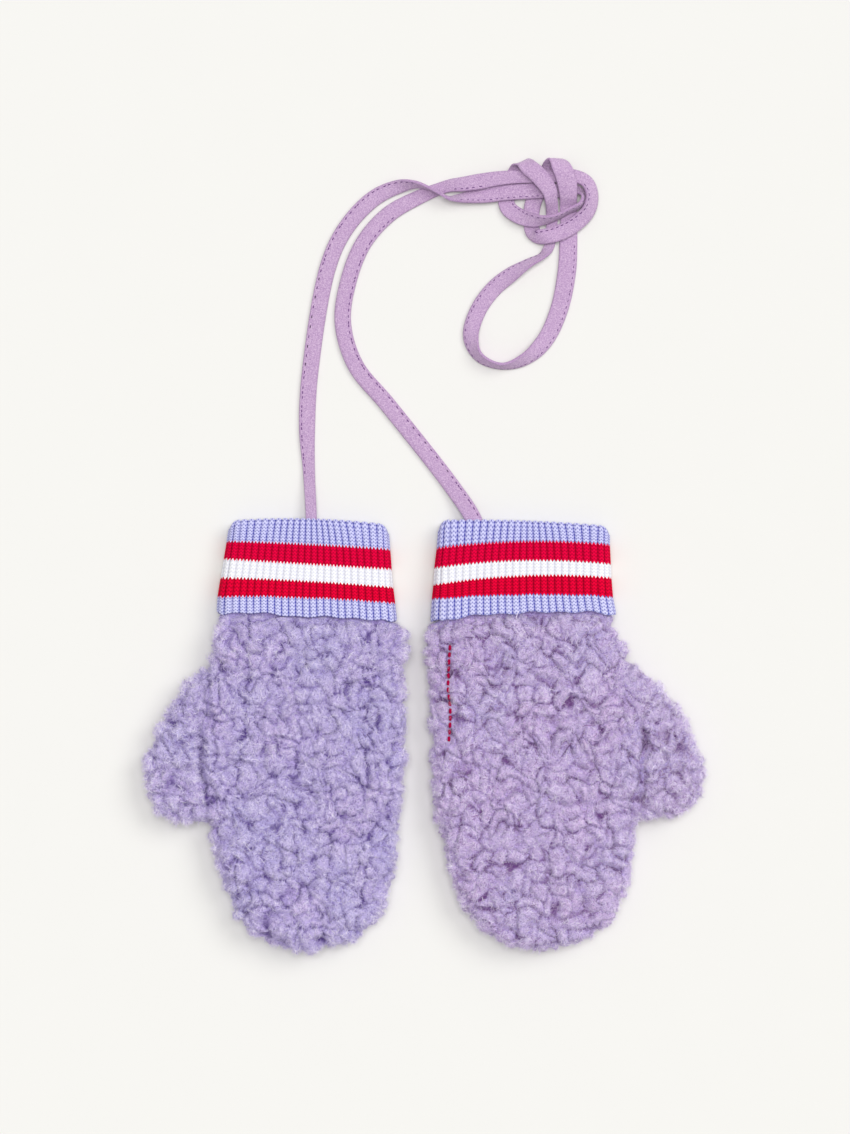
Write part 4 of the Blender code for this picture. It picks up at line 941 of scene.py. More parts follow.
def build_cuff(side, settings, material):
    """The double wall: ribbed outer layer, fold at the mouth and plain inner layer."""
    cuff = Cuff(side)
    along, angle, ribs, stand = rib_columns(settings.columns_per_rib)
    bulge = 1.0 - np.abs(2.0 * (ribs % 1.0) - 1.0) ** RIB_SHARPNESS
    rise = RIB_RISE * bulge * stand
    numbers = np.arange(len(cuff.stations))
    points, bands, courses = [], [], []
    for down, depth, share, folded in cuff_rings(cuff, settings.row_step):
        ring = cuff.points(down, along, angle, depth - rise * share)
        place = np.stack([ring[:, 0], angle * 0.01], axis=1)
        wave = HEM_WAVE * soft_noise(place, HEM_WAVE_LENGTH, 5) * (down / cuff.length) ** 6
        ring[:, 1] += wave + rise * folded
        points.append(ring)
        bands.append(np.full(len(along), np.interp(down, cuff.stations, numbers)))
        courses.append(np.full(len(along), down / settings.stitch_pitch))
    count = len(points)
    faces = grid_faces(count, len(along)).tolist()
    first, last = np.arange(len(along)), np.arange(len(along)) + (count - 1) * len(along)
    closing = np.stack([last, np.roll(last, -1), np.roll(first, -1), first], axis=1)
    values = {"band": np.concatenate(bands), "course": np.concatenate(courses)}
    faces += closing.tolist()
    name = f"{side}_rib_cuff"
    obj = make_mesh(name, np.vstack(points), faces, material, rib=np.tile(ribs, count), **values)
    place_piece(obj, (f"{side}_cuff",))
    return obj


class Fleece:
    """Plan and heights of one mitten's fleece, worked out from its rows and its cuff."""

    def __init__(self, side, step):
        self.side = side
        self.step = step
        self.sign = THUMB_SIDE[side]
        self.cuff = Cuff(side)
        rows = np.array(HAND_ROWS[side], float)
        edge = np.array(THUMB_EDGE[side], float)
        tucks = {sign: self.tuck_points(sign) for sign in (-1, 1)}
        lefts, rights = rows[:, (1, 0)], rows[::-1][:, (2, 0)]
        through = np.vstack([tucks[-1][-1:], lefts, [HAND_TIP[side]], rights, tucks[1][-1:]])
        round_hand = resample(catmull_rom(through, 10), step)
        tip = int(np.argmin(round_hand[:, 1]))
        low, high = edge[-1, 1], edge[0, 1]
        side_y = round_hand[:, 1]
        joined = (side_y > low) & (side_y < high)
        joined &= (np.arange(len(side_y)) > tip) == (self.sign > 0)
        fade = smooth_step(side_y, low, low + SEAM_FADE)
        fade *= smooth_step(-side_y, -high, SEAM_FADE - high)
        sway = soft_noise(np.stack([side_y, side_y * 0.0], axis=1), SEAM_SWAY_LENGTH, 7)
        round_hand[joined, 0] += (SEAM_SWAY * sway * fade)[joined]
        self.seam = round_hand[joined]
        self.thumb_free = resample(catmull_rom(edge, 8), step)
        self.hand = self.hand_outline(tucks, round_hand)
        self.thumb = self.thumb_outline()
        mids = (round_hand[:-1] + round_hand[1:]) / 2.0
        free = segments_of(round_hand)[edge_distance(mids, segments_of(self.seam)) >= SAME]
        pieces = [free, segments_of(self.thumb_free)]
        self.rim = np.vstack(pieces + [segments_of(tucks[sign]) for sign in (-1, 1)])

    def tuck_points(self, sign):
        """The side of the fleece inside the cuff, from the inner layer's end to the hem."""
        cuff, found = self.cuff, []
        end = cuff.length - CUFF_TUCK + GAP
        for down, inset in ((end, TUCK_INSET_END), (cuff.length, TUCK_INSET_HEM)):
            row = cuff.section(down)
            x = row["centre"] + sign * (row["half"] - inset)
            found.append((x, float(cuff.y_at(down, sign))))
        found.append((found[-1][0] + sign * TUCK_SHOULDER, found[-1][1] - TUCK_LIP))
        return np.array(found)

    def hand_outline(self, tucks, round_hand):
        """Closed outline, down the left side, round the tip, up the right and along the wrist."""
        end = self.cuff.length - CUFF_TUCK + GAP
        row = self.cuff.section(end)
        first, last = tucks[1][0], tucks[-1][0]
        xs = np.linspace(first[0], last[0], round((first[0] - last[0]) / self.step) + 1)[1:-1]
        wrist = np.stack([xs, self.cuff.y_at(end, (xs - row["centre"]) / row["half"])], axis=1)
        left = resample(tucks[-1], self.step)[:-1]
        right = resample(tucks[1][::-1], self.step)[1:]
        return np.vstack([left, round_hand, right, wrist])

    def thumb_outline(self):
        """Closed outline of the thumb: its free edge and, one gap outside the hand, the seam."""
        seam = resample(self.seam, self.step) + (self.sign * GAP, 0.0)
        if seam[0, 1] > seam[-1, 1]:
            seam = seam[::-1]
        if self.sign < 0:
            return np.vstack([self.thumb_free, seam])
        return np.vstack([self.thumb_free[::-1], seam[::-1]])

    def below_hem(self, points):
        """Distance from the cuff's hem towards the fingertips; negative inside the cuff."""
        row = self.cuff.section(self.cuff.length)
        across = np.clip((points[:, 0] - row["centre"]) / row["half"], -1.0, 1.0)
        return self.cuff.y_at(self.cuff.length, across) - points[:, 1]

    def heights(self, points, rise):
        """Smooth heights of the top, the two inner faces and the bottom of the fleece."""
        below = self.below_hem(points)
        tucked = 1.0 - smooth_step(below, *FADES["tuck"])
        lifted = 1.0 - smooth_step(below, *FADES["lift"])
        inside_cuff = np.clip(self.cuff.length - np.maximum(-below, 0.0), 0.0, None)
        wall = CUFF_LAYER + CUFF_LAYER_GAP
        half = self.cuff.section(inside_cuff)["thick"] / 2.0
        distance = edge_distance(points, self.rim)
        seam = SEAM_HEIGHT * (1.0 - tucked) + half * tucked
        full = rise * (1.0 - tucked) + (half - wall) * tucked
        radius = RIM_RADIUS_TOP * (1.0 - tucked) + RIM_RADIUS_TUCKED * tucked
        roll, under = (
            np.sqrt(1.0 - (1.0 - np.clip(distance / reach, 0.0, 1.0)) ** 2)
            for reach in (radius, RIM_RADIUS_UNDER)
        )
        crease = CREASE_DEPTH * fading(edge_distance(points, segments_of(self.seam)), CREASE_REACH)
        top = seam + GAP / 2.0 + RIM_EDGE + (full - RIM_EDGE) * roll
        top -= crease * smooth_step(distance, *FADES["crease"])
        low_edge = seam - GAP / 2.0 - RIM_EDGE
        hollow = HOLLOW / 2.0 * smooth_step(distance, *FADES["hollow"])
        return {
            "rim": distance,
            "top": top,
            "back_inner": seam + GAP / 2.0 + hollow,
            "palm_inner": seam - GAP / 2.0 - hollow,
            "bottom": low_edge - (low_edge - wall * lifted) * under,
        }

    def curls(self, points, rim, settings):
        """How far the curls stand out of the smooth form, and the painted shade of each, by how deep
        in a furrow it is.
        """
        seed = CURL_SEEDS[self.side]
        where = wander(points, GROUP_BENDS, seed)
        group, group_edge, _ = cells(where, settings.group_pitch, seed + 2)
        where = wander(points, CLUMP_BENDS, seed)
        clump, clump_edge, number = cells(where, settings.clump_pitch, seed)
        where = wander(points, CURL_BENDS, seed)
        curl, curl_edge, _ = cells(where, settings.curl_pitch, seed + 1)
        mean, swing, least, most = FIRM
        firm = np.clip(mean + swing * soft_noise(points, FIRM_LENGTH, seed + 40), least, most)
        out = settings.group_rise * (group - MEAN_HEIGHTS["group"])
        base, more = CLUMP_VARIES
        tall = clump * (base + more * number) - MEAN_HEIGHTS["clump"]
        base, more = FIRM_CLUMP
        out += settings.clump_rise * tall * (base + more * firm)
        out += CURL_STEP * (number - 0.5) * firm
        base, less = FIRM_CURL
        out += settings.curl_rise * (curl - MEAN_HEIGHTS["curl"]) * (base - less * firm)
        out += FINE_RISE * soft_noise(points, FINE_LENGTH, seed + 60, FINE_WAVES)
        # Painted shade: in the creases between clumps, groups and single curls, on low ground and
        # along the listed furrows.
        low = LOW_GROUND_PAINTED_SHADE["clump"] * (1.0 - clump) ** LOW_POWER
        dark, reach = CREASE_PAINTED_SHADE["clump"]
        depth = dark * fading(clump_edge, reach) * firm + low
        dark, reach = CREASE_PAINTED_SHADE["group"]
        depth += dark * fading(group_edge, reach) + LOW_GROUND_PAINTED_SHADE["group"] * (1.0 - group)
        dark, reach = CREASE_PAINTED_SHADE["curl"]
        depth += dark * fading(curl_edge, reach) * (FIRM_OUT - firm)
        for line in FURROWS[self.side]:
            near = fading(edge_distance(points, segments_of(line)), FURROW_REACH)
            out -= FURROW_DEPTH * near
            depth += FURROW_PAINTED_SHADE * near
        at_rim = fading(rim, RIM_REACH)
        shown = smooth_step(self.below_hem(points) - RIM_DELAY * at_rim, *FADES["pile"])
        # Along the rim the painted shade gives way to a painted highlight.
        depth = np.clip(depth, 0.0, 1.0) * (1.0 - RIM_PAINTED_HIGHLIGHT * at_rim)
        out *= shown * (1.0 + RIM_SCALLOP * at_rim)
        # Under the hem, where there are no curls, the cloth gets an even painted shade.
        return out, depth * shown + PLAIN_PAINTED_SHADE * (1.0 - shown)


def lattice(outline, pitch, clear):
    """A hexagonal lattice inside the outline, at least clear from it."""
    low, high = outline.min(axis=0), outline.max(axis=0)
    row_step = pitch * math.sqrt(3.0) / 2.0
    i, j = np.meshgrid(
        np.arange(int((high[0] - low[0]) / pitch) + 1),
        np.arange(int((high[1] - low[1]) / row_step) + 1),
    )
    x = low[0] + pitch * (i + 0.5 * (j % 2))
    points = np.stack([x.ravel(), (low[1] + row_step * j).ravel()], axis=1)
    points = points[inside(points, outline)]
    return points[edge_distance(points, segments_of(outline, closed=True)) > clear]


def rim_rings(outline, distances):
    """Rings of points a little inside the outline, where the pile rolls over the seam."""
    along = np.roll(outline, -1, axis=0) - np.roll(outline, 1, axis=0)
    inward = unit(np.stack([-along[:, 1], along[:, 0]], axis=1))
    edges = segments_of(outline, closed=True)
    rings = []
    for distance in distances:
        ring = outline + inward * distance
        clear = edge_distance(ring, edges) > 0.9 * distance
        rings.append(ring[inside(ring, outline) & clear])
    return np.vstack(rings)


def triangulate(outline, inner):
    """Triangles over the outline's points and then the inner ones, by their numbers."""
    points = [Vector(point) for point in np.vstack([outline, inner]) / MM]
    loop = list(range(len(outline)))
    _, _, faces, origins, _, _ = delaunay_2d_cdt(points, [], [loop], 1, 1e-5)
    return [[origins[corner][0] for corner in face] for face in faces]


def build_panel(node, fleece, outline, rise, upper, settings, material):
    """One cut of fleece: its curly face, drawn out along its own normals, and a plain back."""
    face, back = ("top", "back_inner") if upper else ("bottom", "palm_inner")
    pitch = settings.mesh_pitch * (1.0 if upper else PALM_MESH)
    rings = rim_rings(outline, RING_STEPS[upper])
    inner = np.vstack([rings, lattice(outline, pitch, RING_STEPS[upper][-1] + 0.5 * pitch)])
    coarse = lattice(outline, *BACK_MESH)
    count, split = len(outline), len(outline) + len(inner)
    plan = np.vstack([outline, inner, outline, coarse])
    heights = fleece.heights(plan, rise)
    z = np.concatenate([heights[face][:split], heights[back][split:]])
    outer = triangulate(outline, inner)
    under = triangulate(outline, coarse)
    lining = [[corner + split for corner in corners][::-1] for corners in under]
    k = np.arange(count)
    wall = np.stack([np.roll(k, -1), k, k + split, np.roll(k, -1) + split], axis=1).tolist()
    faces = outer + lining + wall
    if not upper:
        faces = [corners[::-1] for corners in faces]
    points = np.column_stack([plan, z])
    out, depth = fleece.curls(plan, heights["rim"], settings)
    # The depth attribute carries the face's painted shade into its material.
    obj = make_mesh(f"{node}_fleece", points, faces, material, depth=depth)
    normals = np.zeros(len(points) * 3)
    obj.data.vertices.foreach_get("normal", normals)
    normals = normals.reshape(-1, 3)
    seam = segments_of(fleece.seam)
    if upper:
        normals[edge_distance(plan, seam) < SEAM_UPRIGHT] = (0.0, 0.0, 1.0)
    else:
        out = out * smooth_step(points[:, 2], *FADES["rest"])
    out[split:] = 0.0
    points = points + normals * out[:, None]
    points[split : split + count, :2] = points[:count, :2]
    if upper and outline is fleece.hand:
        lapping = np.flatnonzero(edge_distance(outline, seam) < SAME)
        points[lapping] += (fleece.sign * SEAM_LAP, 0.0, -SEAM_LAP)
    points[:, 2] = np.maximum(points[:, 2], 0.0)
    obj.data.vertices.foreach_set("co", points.ravel())
    obj.data.update()
    place_piece(obj, (node,))
    return obj, (points[:split], np.array(outer), depth[:split])


def build_strands(name, fleece, surface, count, settings, material, seed):
    """Short curled fibres rooted all over a curly face, as one mesh of narrow ribbons.

    A real fibre is about 0.02 mm thick, too fine to show, so each ribbon is a tuft of them.
    """
    points, triangles, depth = surface
    rng = np.random.default_rng(seed)
    a, b, c = (points[triangles[:, k]] for k in range(3))
    normal = np.cross(b - a, c - a)
    area = np.linalg.norm(normal, axis=1)
    shown = fleece.below_hem((a + b + c)[:, :2] / 3.0) > STRAND_HEM
    most, less = STRAND_ROOTED
    chance = area * shown * (most - less * depth[triangles[:, 0]])
    picked = rng.choice(len(triangles), count, p=chance / chance.sum())
    u, v = rng.random((2, count, 1))
    flip = (u + v) > 1.0
    u, v = np.where(flip, 1.0 - u, u), np.where(flip, 1.0 - v, v)
    root = a[picked] + (b - a)[picked] * u + (c - a)[picked] * v
    normal = unit(normal[picked])
    normal *= np.sign(normal[:, 2:3] + 1e-9) if name.endswith("back") else 1.0
    swirl = math.pi * soft_noise(root, STRAND_SWIRL, seed + 3)
    swirl += rng.normal(0.0, STRAND_SPREAD, count)
    ahead = np.stack([np.cos(swirl), np.sin(swirl), np.zeros(count)], axis=1)
    ahead += normal * (1.0, 1.0, 0.0) * STRAND_FALL
    ahead = unit(square_to(ahead, normal) + normal * STRAND_RISE)
    beside = np.cross(normal, ahead)
    length = settings.strand_length * rng.uniform(*STRAND_LENGTHS, (count, 1))
    bend = rng.normal(0.0, STRAND_BEND, (count, 1))
    stand = rng.uniform(*STRAND_STAND, (count, 1))
    width = settings.strand_width * rng.uniform(*STRAND_WIDTHS, (count, 1))
    rows = []
    arc_start, arc = STRAND_ARC
    for t in np.linspace(0.0, 1.0, STRAND_STEPS + 1):
        centre = root + ahead * length * t * (1.0 - STRAND_DRAWN_IN * t * np.abs(bend))
        centre += beside * length * bend * t**2 * STRAND_SWAY
        centre += normal * length * stand * math.sin(math.pi * (arc_start + arc * t))
        taper = width * (1.0 - STRAND_TAPER * t) / 2.0
        across = beside - ahead * bend * t
        rows += [centre - across * taper, centre + across * taper]
    ribbon = np.stack(rows, axis=1)
    ribbon[..., 2] = np.maximum(ribbon[..., 2], 0.0)
    base = np.arange(count)[:, None] * len(rows)
    corners = np.array([0, 1, 3, 2])
    faces = np.concatenate([base + corners + 2 * k for k in range(STRAND_STEPS)]).tolist()
    # Fibres near the rim get a painted highlight that raises their tone.
    pale = RIM_PAINTED_HIGHLIGHT / 2.0 * fading(edge_distance(root, fleece.rim), RIM_REACH)
    tone = np.clip(rng.beta(*STRAND_TONES, count) + pale, 0.0, 1.0)
    # Painted shade on each fibre from the furrow under its root.
    painted_shade = np.clip(depth[triangles[picked, 0]] * STRAND_PAINTED_SHADE, 0.0, 1.0)
    values = {"tone": np.repeat(tone, len(rows)), "depth": np.repeat(painted_shade, len(rows))}
    obj = make_mesh(name, ribbon.reshape(-1, 3), faces, material, **values)
    place_piece(obj)
    return obj


def plan_area(outline):
    """Area inside a closed outline."""
    x, y = outline.T
    return abs(np.dot(x, np.roll(y, -1)) - np.dot(y, np.roll(x, -1))) / 2.0


def declare_panel(outline):
    """Work out how large the panel was cut, from the outline's box and its area inside it; the size
    is not kept.
    """
    size = np.ptp(outline, axis=0) + CUT_ALLOWANCE
    share = plan_area(outline) / np.ptp(outline, axis=0).prod()
    float(share * size.prod())


def tape_frames(steps):
    """Centre, across and through directions and width of the tape at each sample."""
    rows = [dict(zip(CORD_COLUMNS, row)) for row in CORD_ROWS]
    line = []
    for row in rows:
        lean = 0.0 if "facing" in row else math.sin(math.radians(row["roll"]))
        rise = (row["width"] - TAPE_THICKNESS) / 2.0 * abs(lean) + TAPE_THICKNESS / 2.0
        line.append((row["x"], row["y"], row["lift"] + rise, row["width"]))
    samples = centripetal(line, steps)
    centre, width = samples[:, :3], samples[:, 3]
    ahead = unit(np.gradient(centre, axis=0))
    across = []
    for row, along in zip(rows, ahead[::steps]):
        if "facing" in row:
            turn = math.radians(row["facing"])
            side = unit(square_to(np.array((math.cos(turn), math.sin(turn), 0.0)), along))
        else:
            flat = unit(np.cross(along, (0.0, 0.0, 1.0)))
            roll = math.radians(row["roll"])
            side = flat * math.cos(roll) + np.cross(along, flat) * math.sin(roll)
        if across and side @ across[-1] < 0.0:
            side = -side
        across.append(side)
    across = unit(square_to(catmull_rom(across, steps), ahead))
    through = np.cross(ahead, across)
    reach = np.abs(across[:, 2]) * width / 2.0 + np.abs(through[:, 2]) * TAPE_THICKNESS / 2.0
    centre[:, 2] = np.maximum(centre[:, 2], reach + TAPE_CLEAR)
    return centre, across, through, width


def build_tape(material, thread):
    """The jersey tape swept along its route, with a dent along its seam, and its stitches."""
    centre, across, through, width = tape_frames(TAPE_STEPS)
    section = np.array(TAPE_SECTION)
    section = np.vstack([section, -section])
    reach = section[:, 0][None, :, None] * (width / 2.0)[:, None, None]
    lift = section[:, 1][None, :, None] * TAPE_THICKNESS
    points = centre[:, None] + across[:, None] * reach + through[:, None] * lift
    rings, sides = points.shape[:2]
    lengths = lengths_along(centre)
    faces = grid_faces(rings, sides).tolist()
    faces += [list(range(sides))[::-1], list(range((rings - 1) * sides, rings * sides))]
    values = {"along": np.repeat(lengths, sides), "across": np.tile(section[:, 0], rings)}
    obj = make_mesh("mitten_cord", points.reshape(-1, 3), faces, material, **values)
    place_piece(obj, ("cord",))
    stitches = build_tape_stitches(centre, across, through, width, lengths, thread)
    return obj, stitches, centre, float(lengths[-1])


def dash(centre, ahead, beside, above, length, width, height):
    """One stitch: a small rounded bar that dips at both ends."""
    points = []
    for t, girth, drop in DASH_SECTIONS:
        middle = centre + ahead * length * t - above * height * drop
        for turn in range(DASH_SIDES):
            angle = 2.0 * math.pi * turn / DASH_SIDES
            spread = beside * math.cos(angle) * width / 2.0 + above * math.sin(angle) * height
            points.append(middle + spread * girth)
    first, last = list(range(DASH_SIDES)), list(range(len(points) - DASH_SIDES, len(points)))
    return points, grid_faces(len(DASH_SECTIONS), DASH_SIDES).tolist() + [first[::-1], last]


def join_dashes(name, dashes, material):
    """One mesh of many stitches."""
    points, faces = [], []
    for corner_points, corner_faces in dashes:
        faces += [[corner + len(points) for corner in face] for face in corner_faces]
        points += corner_points
    obj = make_mesh(name, points, faces, material)
    place_piece(obj)
    return obj


def build_tape_stitches(centre, across, through, width, lengths, thread):
    """Stitches on both faces of the tape, near the one edge that it was closed along."""
    pitch, *size = TAPE_STITCH
    dashes = []
    for first, last, edge in SEAM_STRETCHES:
        start, end = lengths[first * TAPE_STEPS], lengths[last * TAPE_STEPS]
        for along in np.arange(start, end, pitch):
            k = min(int(np.searchsorted(lengths, along)), len(centre) - 2)
            ahead = unit(centre[k + 1] - centre[k - 1])
            place = centre[k] + across[k] * edge * (width[k] / 2.0) * STITCH_PLACE
            for above in (through[k], -through[k]):
                dashes.append(dash(place + above * STITCH_FOOT, ahead, across[k], above, *size))
    return join_dashes("mitten_cord_stitches", dashes, thread)


def build_stitch_row(panel, thread):
    """The red hand stitches, laid on the fleece under them."""
    bpy.context.view_layer.update()
    pitch, *size = RED_STITCH
    line = resample(catmull_rom(STITCH_ROW, 12), pitch)
    to_panel = panel.matrix_world.inverted()
    above = np.array((0.0, 0.0, 1.0))
    dashes = []
    for here, there in zip(line, line[1:]):
        start = to_panel @ Vector((*(here + there) / 2.0, 0.05))
        hit, place, _, _ = panel.ray_cast(start, Vector((0.0, 0.0, -1.0)))
        if not hit:
            raise RuntimeError("the stitch row lies off the fleece")
        ahead = unit(np.append(there - here, 0.0))
        foot = np.array(panel.matrix_world @ place) + above * RED_FOOT
        dashes.append(dash(foot, ahead, np.cross(above, ahead), above, *size))
    return join_dashes("right_hand_stitches", dashes, thread)


def size_setting(name, description, default, least=0.0):
    """A size in metres that a user can change."""
    words = {"name": name, "description": description}
    return FloatProperty(default=default, min=least, subtype="DISTANCE", unit="LENGTH", **words)


def colour_setting(name, description, code):
    """A colour that a user can change, from its sRGB code."""
    words = {"name": name, "description": description}
    return FloatVectorProperty(
        default=linear(code), size=4, min=0.0, max=1.0, subtype="COLOR", **words
    )


class MittenFleeceSettings(bpy.types.PropertyGroup):
    group_pitch: size_setting("Group size", "Breadth of a group of clumps", 12.5 * MM, MM)
    group_rise: size_setting("Group rise", "Height of a group over its furrows", 1.1 * MM)
    clump_pitch: size_setting("Clump size", "Breadth of a clump of curls", 6.4 * MM, MM)
    clump_rise: size_setting("Clump rise", "Height of a clump over its furrows", 2.5 * MM)
    curl_pitch: size_setting("Curl size", "Breadth of a single curl", 3.3 * MM, 0.5 * MM)
    curl_rise: size_setting("Curl rise", "Height of a single curl", 0.45 * MM)
    mesh_pitch: size_setting("Mesh pitch", "Distance between points on the face", 0.55 * MM, 0.2 * MM)
    outline_step: size_setting("Outline step", "Distance between outline points", 0.9 * MM, 0.3 * MM)
    strands_hand: IntProperty(
        name="Hand fibres", description="Fibres on the back of one hand", default=38000, min=0
    )
    strands_thumb: IntProperty(
        name="Thumb fibres", description="Fibres on the back of one thumb", default=8000, min=0
    )
    strands_palm: IntProperty(
        name="Palm fibres", description="Fibres on the palm of one hand", default=7000, min=0
    )
    strand_length: size_setting("Fibre length", "Mean length of a fibre", 1.8 * MM, 0.2 * MM)
    strand_width: size_setting("Fibre width", "Mean width of a tuft of fibres", 0.17 * MM, 0.02 * MM)


class MittenKnitSettings(bpy.types.PropertyGroup):
    columns_per_rib: IntProperty(
        name="Columns a rib", description="Mesh columns over one rib", default=8, min=4
    )
    row_step: size_setting("Row step", "Distance between mesh rows", 0.34 * MM, 0.1 * MM)
    stitch_pitch: size_setting("Stitch height", "Height of one stitch", 1.35 * MM, 0.2 * MM)


class MittenColourSettings(bpy.types.PropertyGroup):
    # From crown to furrow the fleece's colours are steps of painted shade, darkest in the furrows.
    left_crown: colour_setting("Left crowns", "Left fleece on the crowns of its curls", "#F0E7FF")
    left_middle: colour_setting("Left middle", "Left fleece on the sides of its curls", "#D7CAF6")
    left_furrow: colour_setting("Left furrows", "Left fleece in its furrows", "#66479A")
    right_crown: colour_setting("Right crowns", "Right fleece on the crowns of its curls", "#F7E6FD")
    right_middle: colour_setting("Right middle", "Right fleece on the sides of its curls", "#DECBF4")
    right_furrow: colour_setting("Right furrows", "Right fleece in its furrows", "#7A458C")
    fibre_tip: colour_setting("Fibre tips", "The palest fibres of the pile", "#FAF4FF")
    yarn_1: colour_setting("Yarn 1", "Yarn of the band at the mouth", "#D6D6FC")
    yarn_2: colour_setting("Yarn 2", "Yarn of the second band", "#EC0040")
    yarn_3: colour_setting("Yarn 3", "Yarn of the middle band", "#FCFCFF")
    yarn_4: colour_setting("Yarn 4", "Yarn of the fourth band", "#EE0038")
    yarn_5: colour_setting("Yarn 5", "Yarn of the band at the hem", "#DADAFC")
    # The shade colours are painted shade in the holes between the stitches and the grooves between
    # the ribs.
    shade_1: colour_setting("Shade 1", "Holes and grooves of the band at the mouth", "#3A3AA8")
    shade_2: colour_setting("Shade 2", "Holes and grooves of the second band", "#900024")
    shade_3: colour_setting("Shade 3", "Holes and grooves of the middle band", "#D6D6E4")
    shade_4: colour_setting("Shade 4", "Holes and grooves of the fourth band", "#8E0020")
    shade_5: colour_setting("Shade 5", "Holes and grooves of the band at the hem", "#4042AE")
    tape_dark: colour_setting("Tape, dark", "Darkest fibres of the tape", "#B892C2")
    tape: colour_setting("Tape", "Body of the tape", "#CEABD4")
    tape_pale: colour_setting("Tape, pale", "Palest fibres of the tape", "#E4C8E6")
    tape_thread: colour_setting("Tape thread", "Thread that closes the tape", "#7C4E92")
    red_thread: colour_setting("Red thread", "Thread of the hand stitches", "#BC0048")
    surface: colour_setting("Surface", "Paper that the pair lies on", "#ECEBE7")


class MittenStageSettings(bpy.types.PropertyGroup):
    camera_height: size_setting("Camera height", "Height of the lens over the surface", 1.6, 0.3)
    key: FloatProperty(
        name="Key light",
        description="Strength of the light from the upper right",
        default=1.04,
        min=0.0,
    )
    overhead: FloatProperty(
        name="Overhead light", description="Strength of the light from above", default=1.58, min=0.0
    )
    sky: FloatProperty(
        name="Room light", description="Strength of the even light", default=0.375, min=0.0
    )


class MITTENS_OT_stage(bpy.types.Operator):
    """Camera straight above, pale surface, soft light from the upper right"""

    bl_idname = "mittens.stage"
    bl_label = "Set the stage"

    def execute(self, context):
        settings, scene = context.scene.mitten_stage, context.scene
        camera = bpy.data.cameras.new("camera")
        camera.type = "PERSP"
        camera.sensor_width = SENSOR
        camera.dof.use_dof = False
        camera.lens = SENSOR * (settings.camera_height - FOCUS_HEIGHT) / VIEW_HEIGHT
        eye = bpy.data.objects.new("camera", camera)
        eye.location = (*VIEW_CENTRE, settings.camera_height)
        scene.collection.objects.link(eye)
        scene.camera = eye
        corners = [(x * FLOOR_REACH, y * FLOOR_REACH, 0.0) for x, y in FLOOR_CORNERS]
        paper = surface_material(scene.mitten_colours)
        floor = make_mesh("surface", corners, [(0, 1, 2, 3)], paper)
        floor.location.z = -FLOOR_DROP
        for name, (azimuth, height, breadth) in LIGHTS.items():
            lamp = bpy.data.lights.new(name, "SUN")
            lamp.energy = getattr(settings, name)
            lamp.angle = math.radians(breadth)
            light = bpy.data.objects.new(name, lamp)
            turn, rise = math.radians(azimuth), math.radians(height)
            out = math.cos(rise)
            ahead = -Vector((out * math.cos(turn), out * math.sin(turn), math.sin(rise)))
            light.rotation_euler = ahead.to_track_quat("-Z", "Y").to_euler()
            scene.collection.objects.link(light)
        world = bpy.data.worlds.new("room")
        world.use_nodes = True
        shade = world.node_tree.nodes["Background"]
        shade.inputs["Color"].default_value = (1.0, 1.0, 1.0, 1.0)
        shade.inputs["Strength"].default_value = settings.sky
        scene.world = world
        scene.view_settings.view_transform = "Standard"
        return {"FINISHED"}


class MITTENS_OT_cord(bpy.types.Operator):
    """The flat tape that joins the pair, with its knot, its loop and its stitching"""

    bl_idname = "mittens.cord"
    bl_label = "Build the cord"

    def execute(self, context):
        colours = context.scene.mitten_colours
        thread = thread_material("tape_thread", colours.tape_thread)
        tape, stitches, centre, length_along = build_tape(tape_material(colours), thread)
        return {"FINISHED"}


class MITTENS_OT_cuffs(bpy.types.Operator):
    """The two striped rib cuffs, double and turned down"""

    bl_idname = "mittens.cuffs"
    bl_label = "Build the cuffs"

    def execute(self, context):
        material = rib_material(context.scene.mitten_colours)
        for side in SIDES:
            obj = build_cuff(side, context.scene.mitten_knit, material)
        return {"FINISHED"}


class MITTENS_OT_fleece(bpy.types.Operator):
    """Back and palm panels and thumb halves of one mitten, with their fibres"""

    bl_idname = "mittens.fleece"
    bl_label = "Build the fleece"

    side: EnumProperty(
        name="Mitten", description="Which mitten of the pair", items=[(s, s, s) for s in SIDES]
    )

    def execute(self, context):
        settings, colours = context.scene.mitten_fleece, context.scene.mitten_colours
        fleece = Fleece(self.side, settings.outline_step)
        cloth, fibres = fleece_material(self.side, colours), strand_material(self.side, colours)
        share = 1.0
        cuts = (
            ("back", fleece.hand, BACK_RISE, True, settings.strands_hand),
            ("palm", fleece.hand, BACK_RISE, False, settings.strands_palm),
            ("thumb_back", fleece.thumb, THUMB_RISE, True, settings.strands_thumb),
            ("thumb_palm", fleece.thumb, THUMB_RISE, False, settings.strands_thumb // 3),
        )
        for order, (cut, outline, rise, upper, count) in enumerate(cuts):
            node, name = f"{self.side}_{cut}", f"{self.side}_pile_{cut}"
            obj, surface = build_panel(node, fleece, outline, rise, upper, settings, cloth)
            seed = 100 * CURL_SEEDS[self.side] + order
            count = int(count * share)
            strands = build_strands(name, fleece, surface, count, settings, fibres, seed)
            declare_panel(outline)
        return {"FINISHED"}


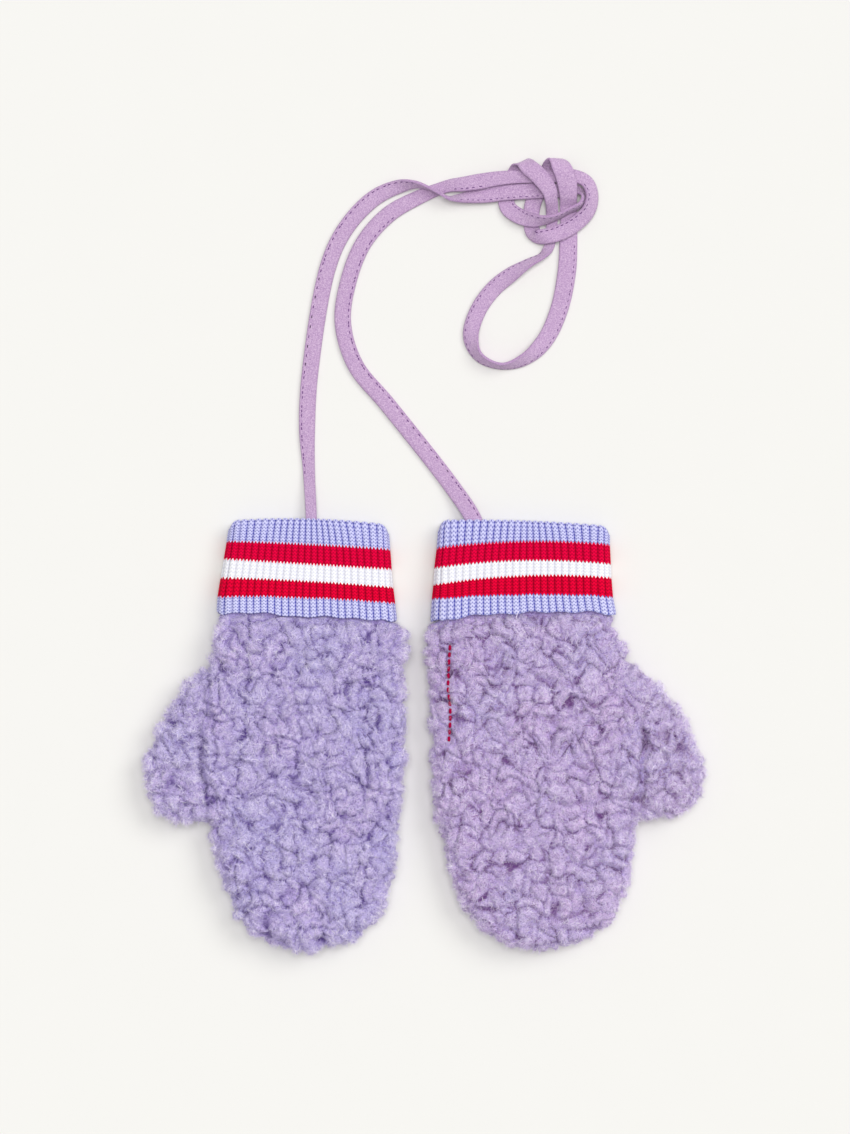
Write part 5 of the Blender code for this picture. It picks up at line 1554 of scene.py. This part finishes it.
class MITTENS_OT_stitches(bpy.types.Operator):
    """The short row of red hand stitches on the right mitten's back"""

    bl_idname = "mittens.stitches"
    bl_label = "Sew the red stitches"

    def execute(self, context):
        panel = bpy.data.objects.get("right_back_fleece")
        if panel is None:
            raise RuntimeError("the fleece comes before its stitches")
        thread = thread_material("red_thread", context.scene.mitten_colours.red_thread)
        build_stitch_row(panel, thread)
        return {"FINISHED"}


class MITTENS_PT_panel(bpy.types.Panel):
    """Buttons, sizes and colours for the pair"""

    bl_label = "Mittens"
    bl_space_type = "VIEW_3D"
    bl_region_type = "UI"
    bl_category = "Mittens"

    def draw(self, context):
        layout = self.layout
        for name in SETTINGS:
            group, box = getattr(context.scene, name), layout.box()
            for key in group.bl_rna.properties.keys():
                if key not in ("rna_type", "name"):
                    box.prop(group, key)
        for operator in (MITTENS_OT_stage, MITTENS_OT_cord, MITTENS_OT_cuffs):
            layout.operator(operator.bl_idname)
        for side in SIDES:
            layout.operator(MITTENS_OT_fleece.bl_idname, text=f"Build the {side} fleece").side = side
        layout.operator(MITTENS_OT_stitches.bl_idname)


SETTINGS = {
    "mitten_stage": MittenStageSettings,
    "mitten_colours": MittenColourSettings,
    "mitten_knit": MittenKnitSettings,
    "mitten_fleece": MittenFleeceSettings,
}
CLASSES = (
    *SETTINGS.values(),
    MITTENS_OT_stage,
    MITTENS_OT_cord,
    MITTENS_OT_cuffs,
    MITTENS_OT_fleece,
    MITTENS_OT_stitches,
    MITTENS_PT_panel,
)


def register():
    for cls in CLASSES:
        bpy.utils.register_class(cls)
    for name, cls in SETTINGS.items():
        setattr(bpy.types.Scene, name, PointerProperty(type=cls))


def unregister():
    for name in SETTINGS:
        delattr(bpy.types.Scene, name)
    for cls in reversed(CLASSES):
        bpy.utils.unregister_class(cls)


def main():
    register()
    bpy.ops.mittens.stage()
    bpy.ops.mittens.cord()
    bpy.ops.mittens.cuffs()
    for side in SIDES:
        bpy.ops.mittens.fleece(side=side)
    bpy.ops.mittens.stitches()


if __name__ == "__main__":
    main()
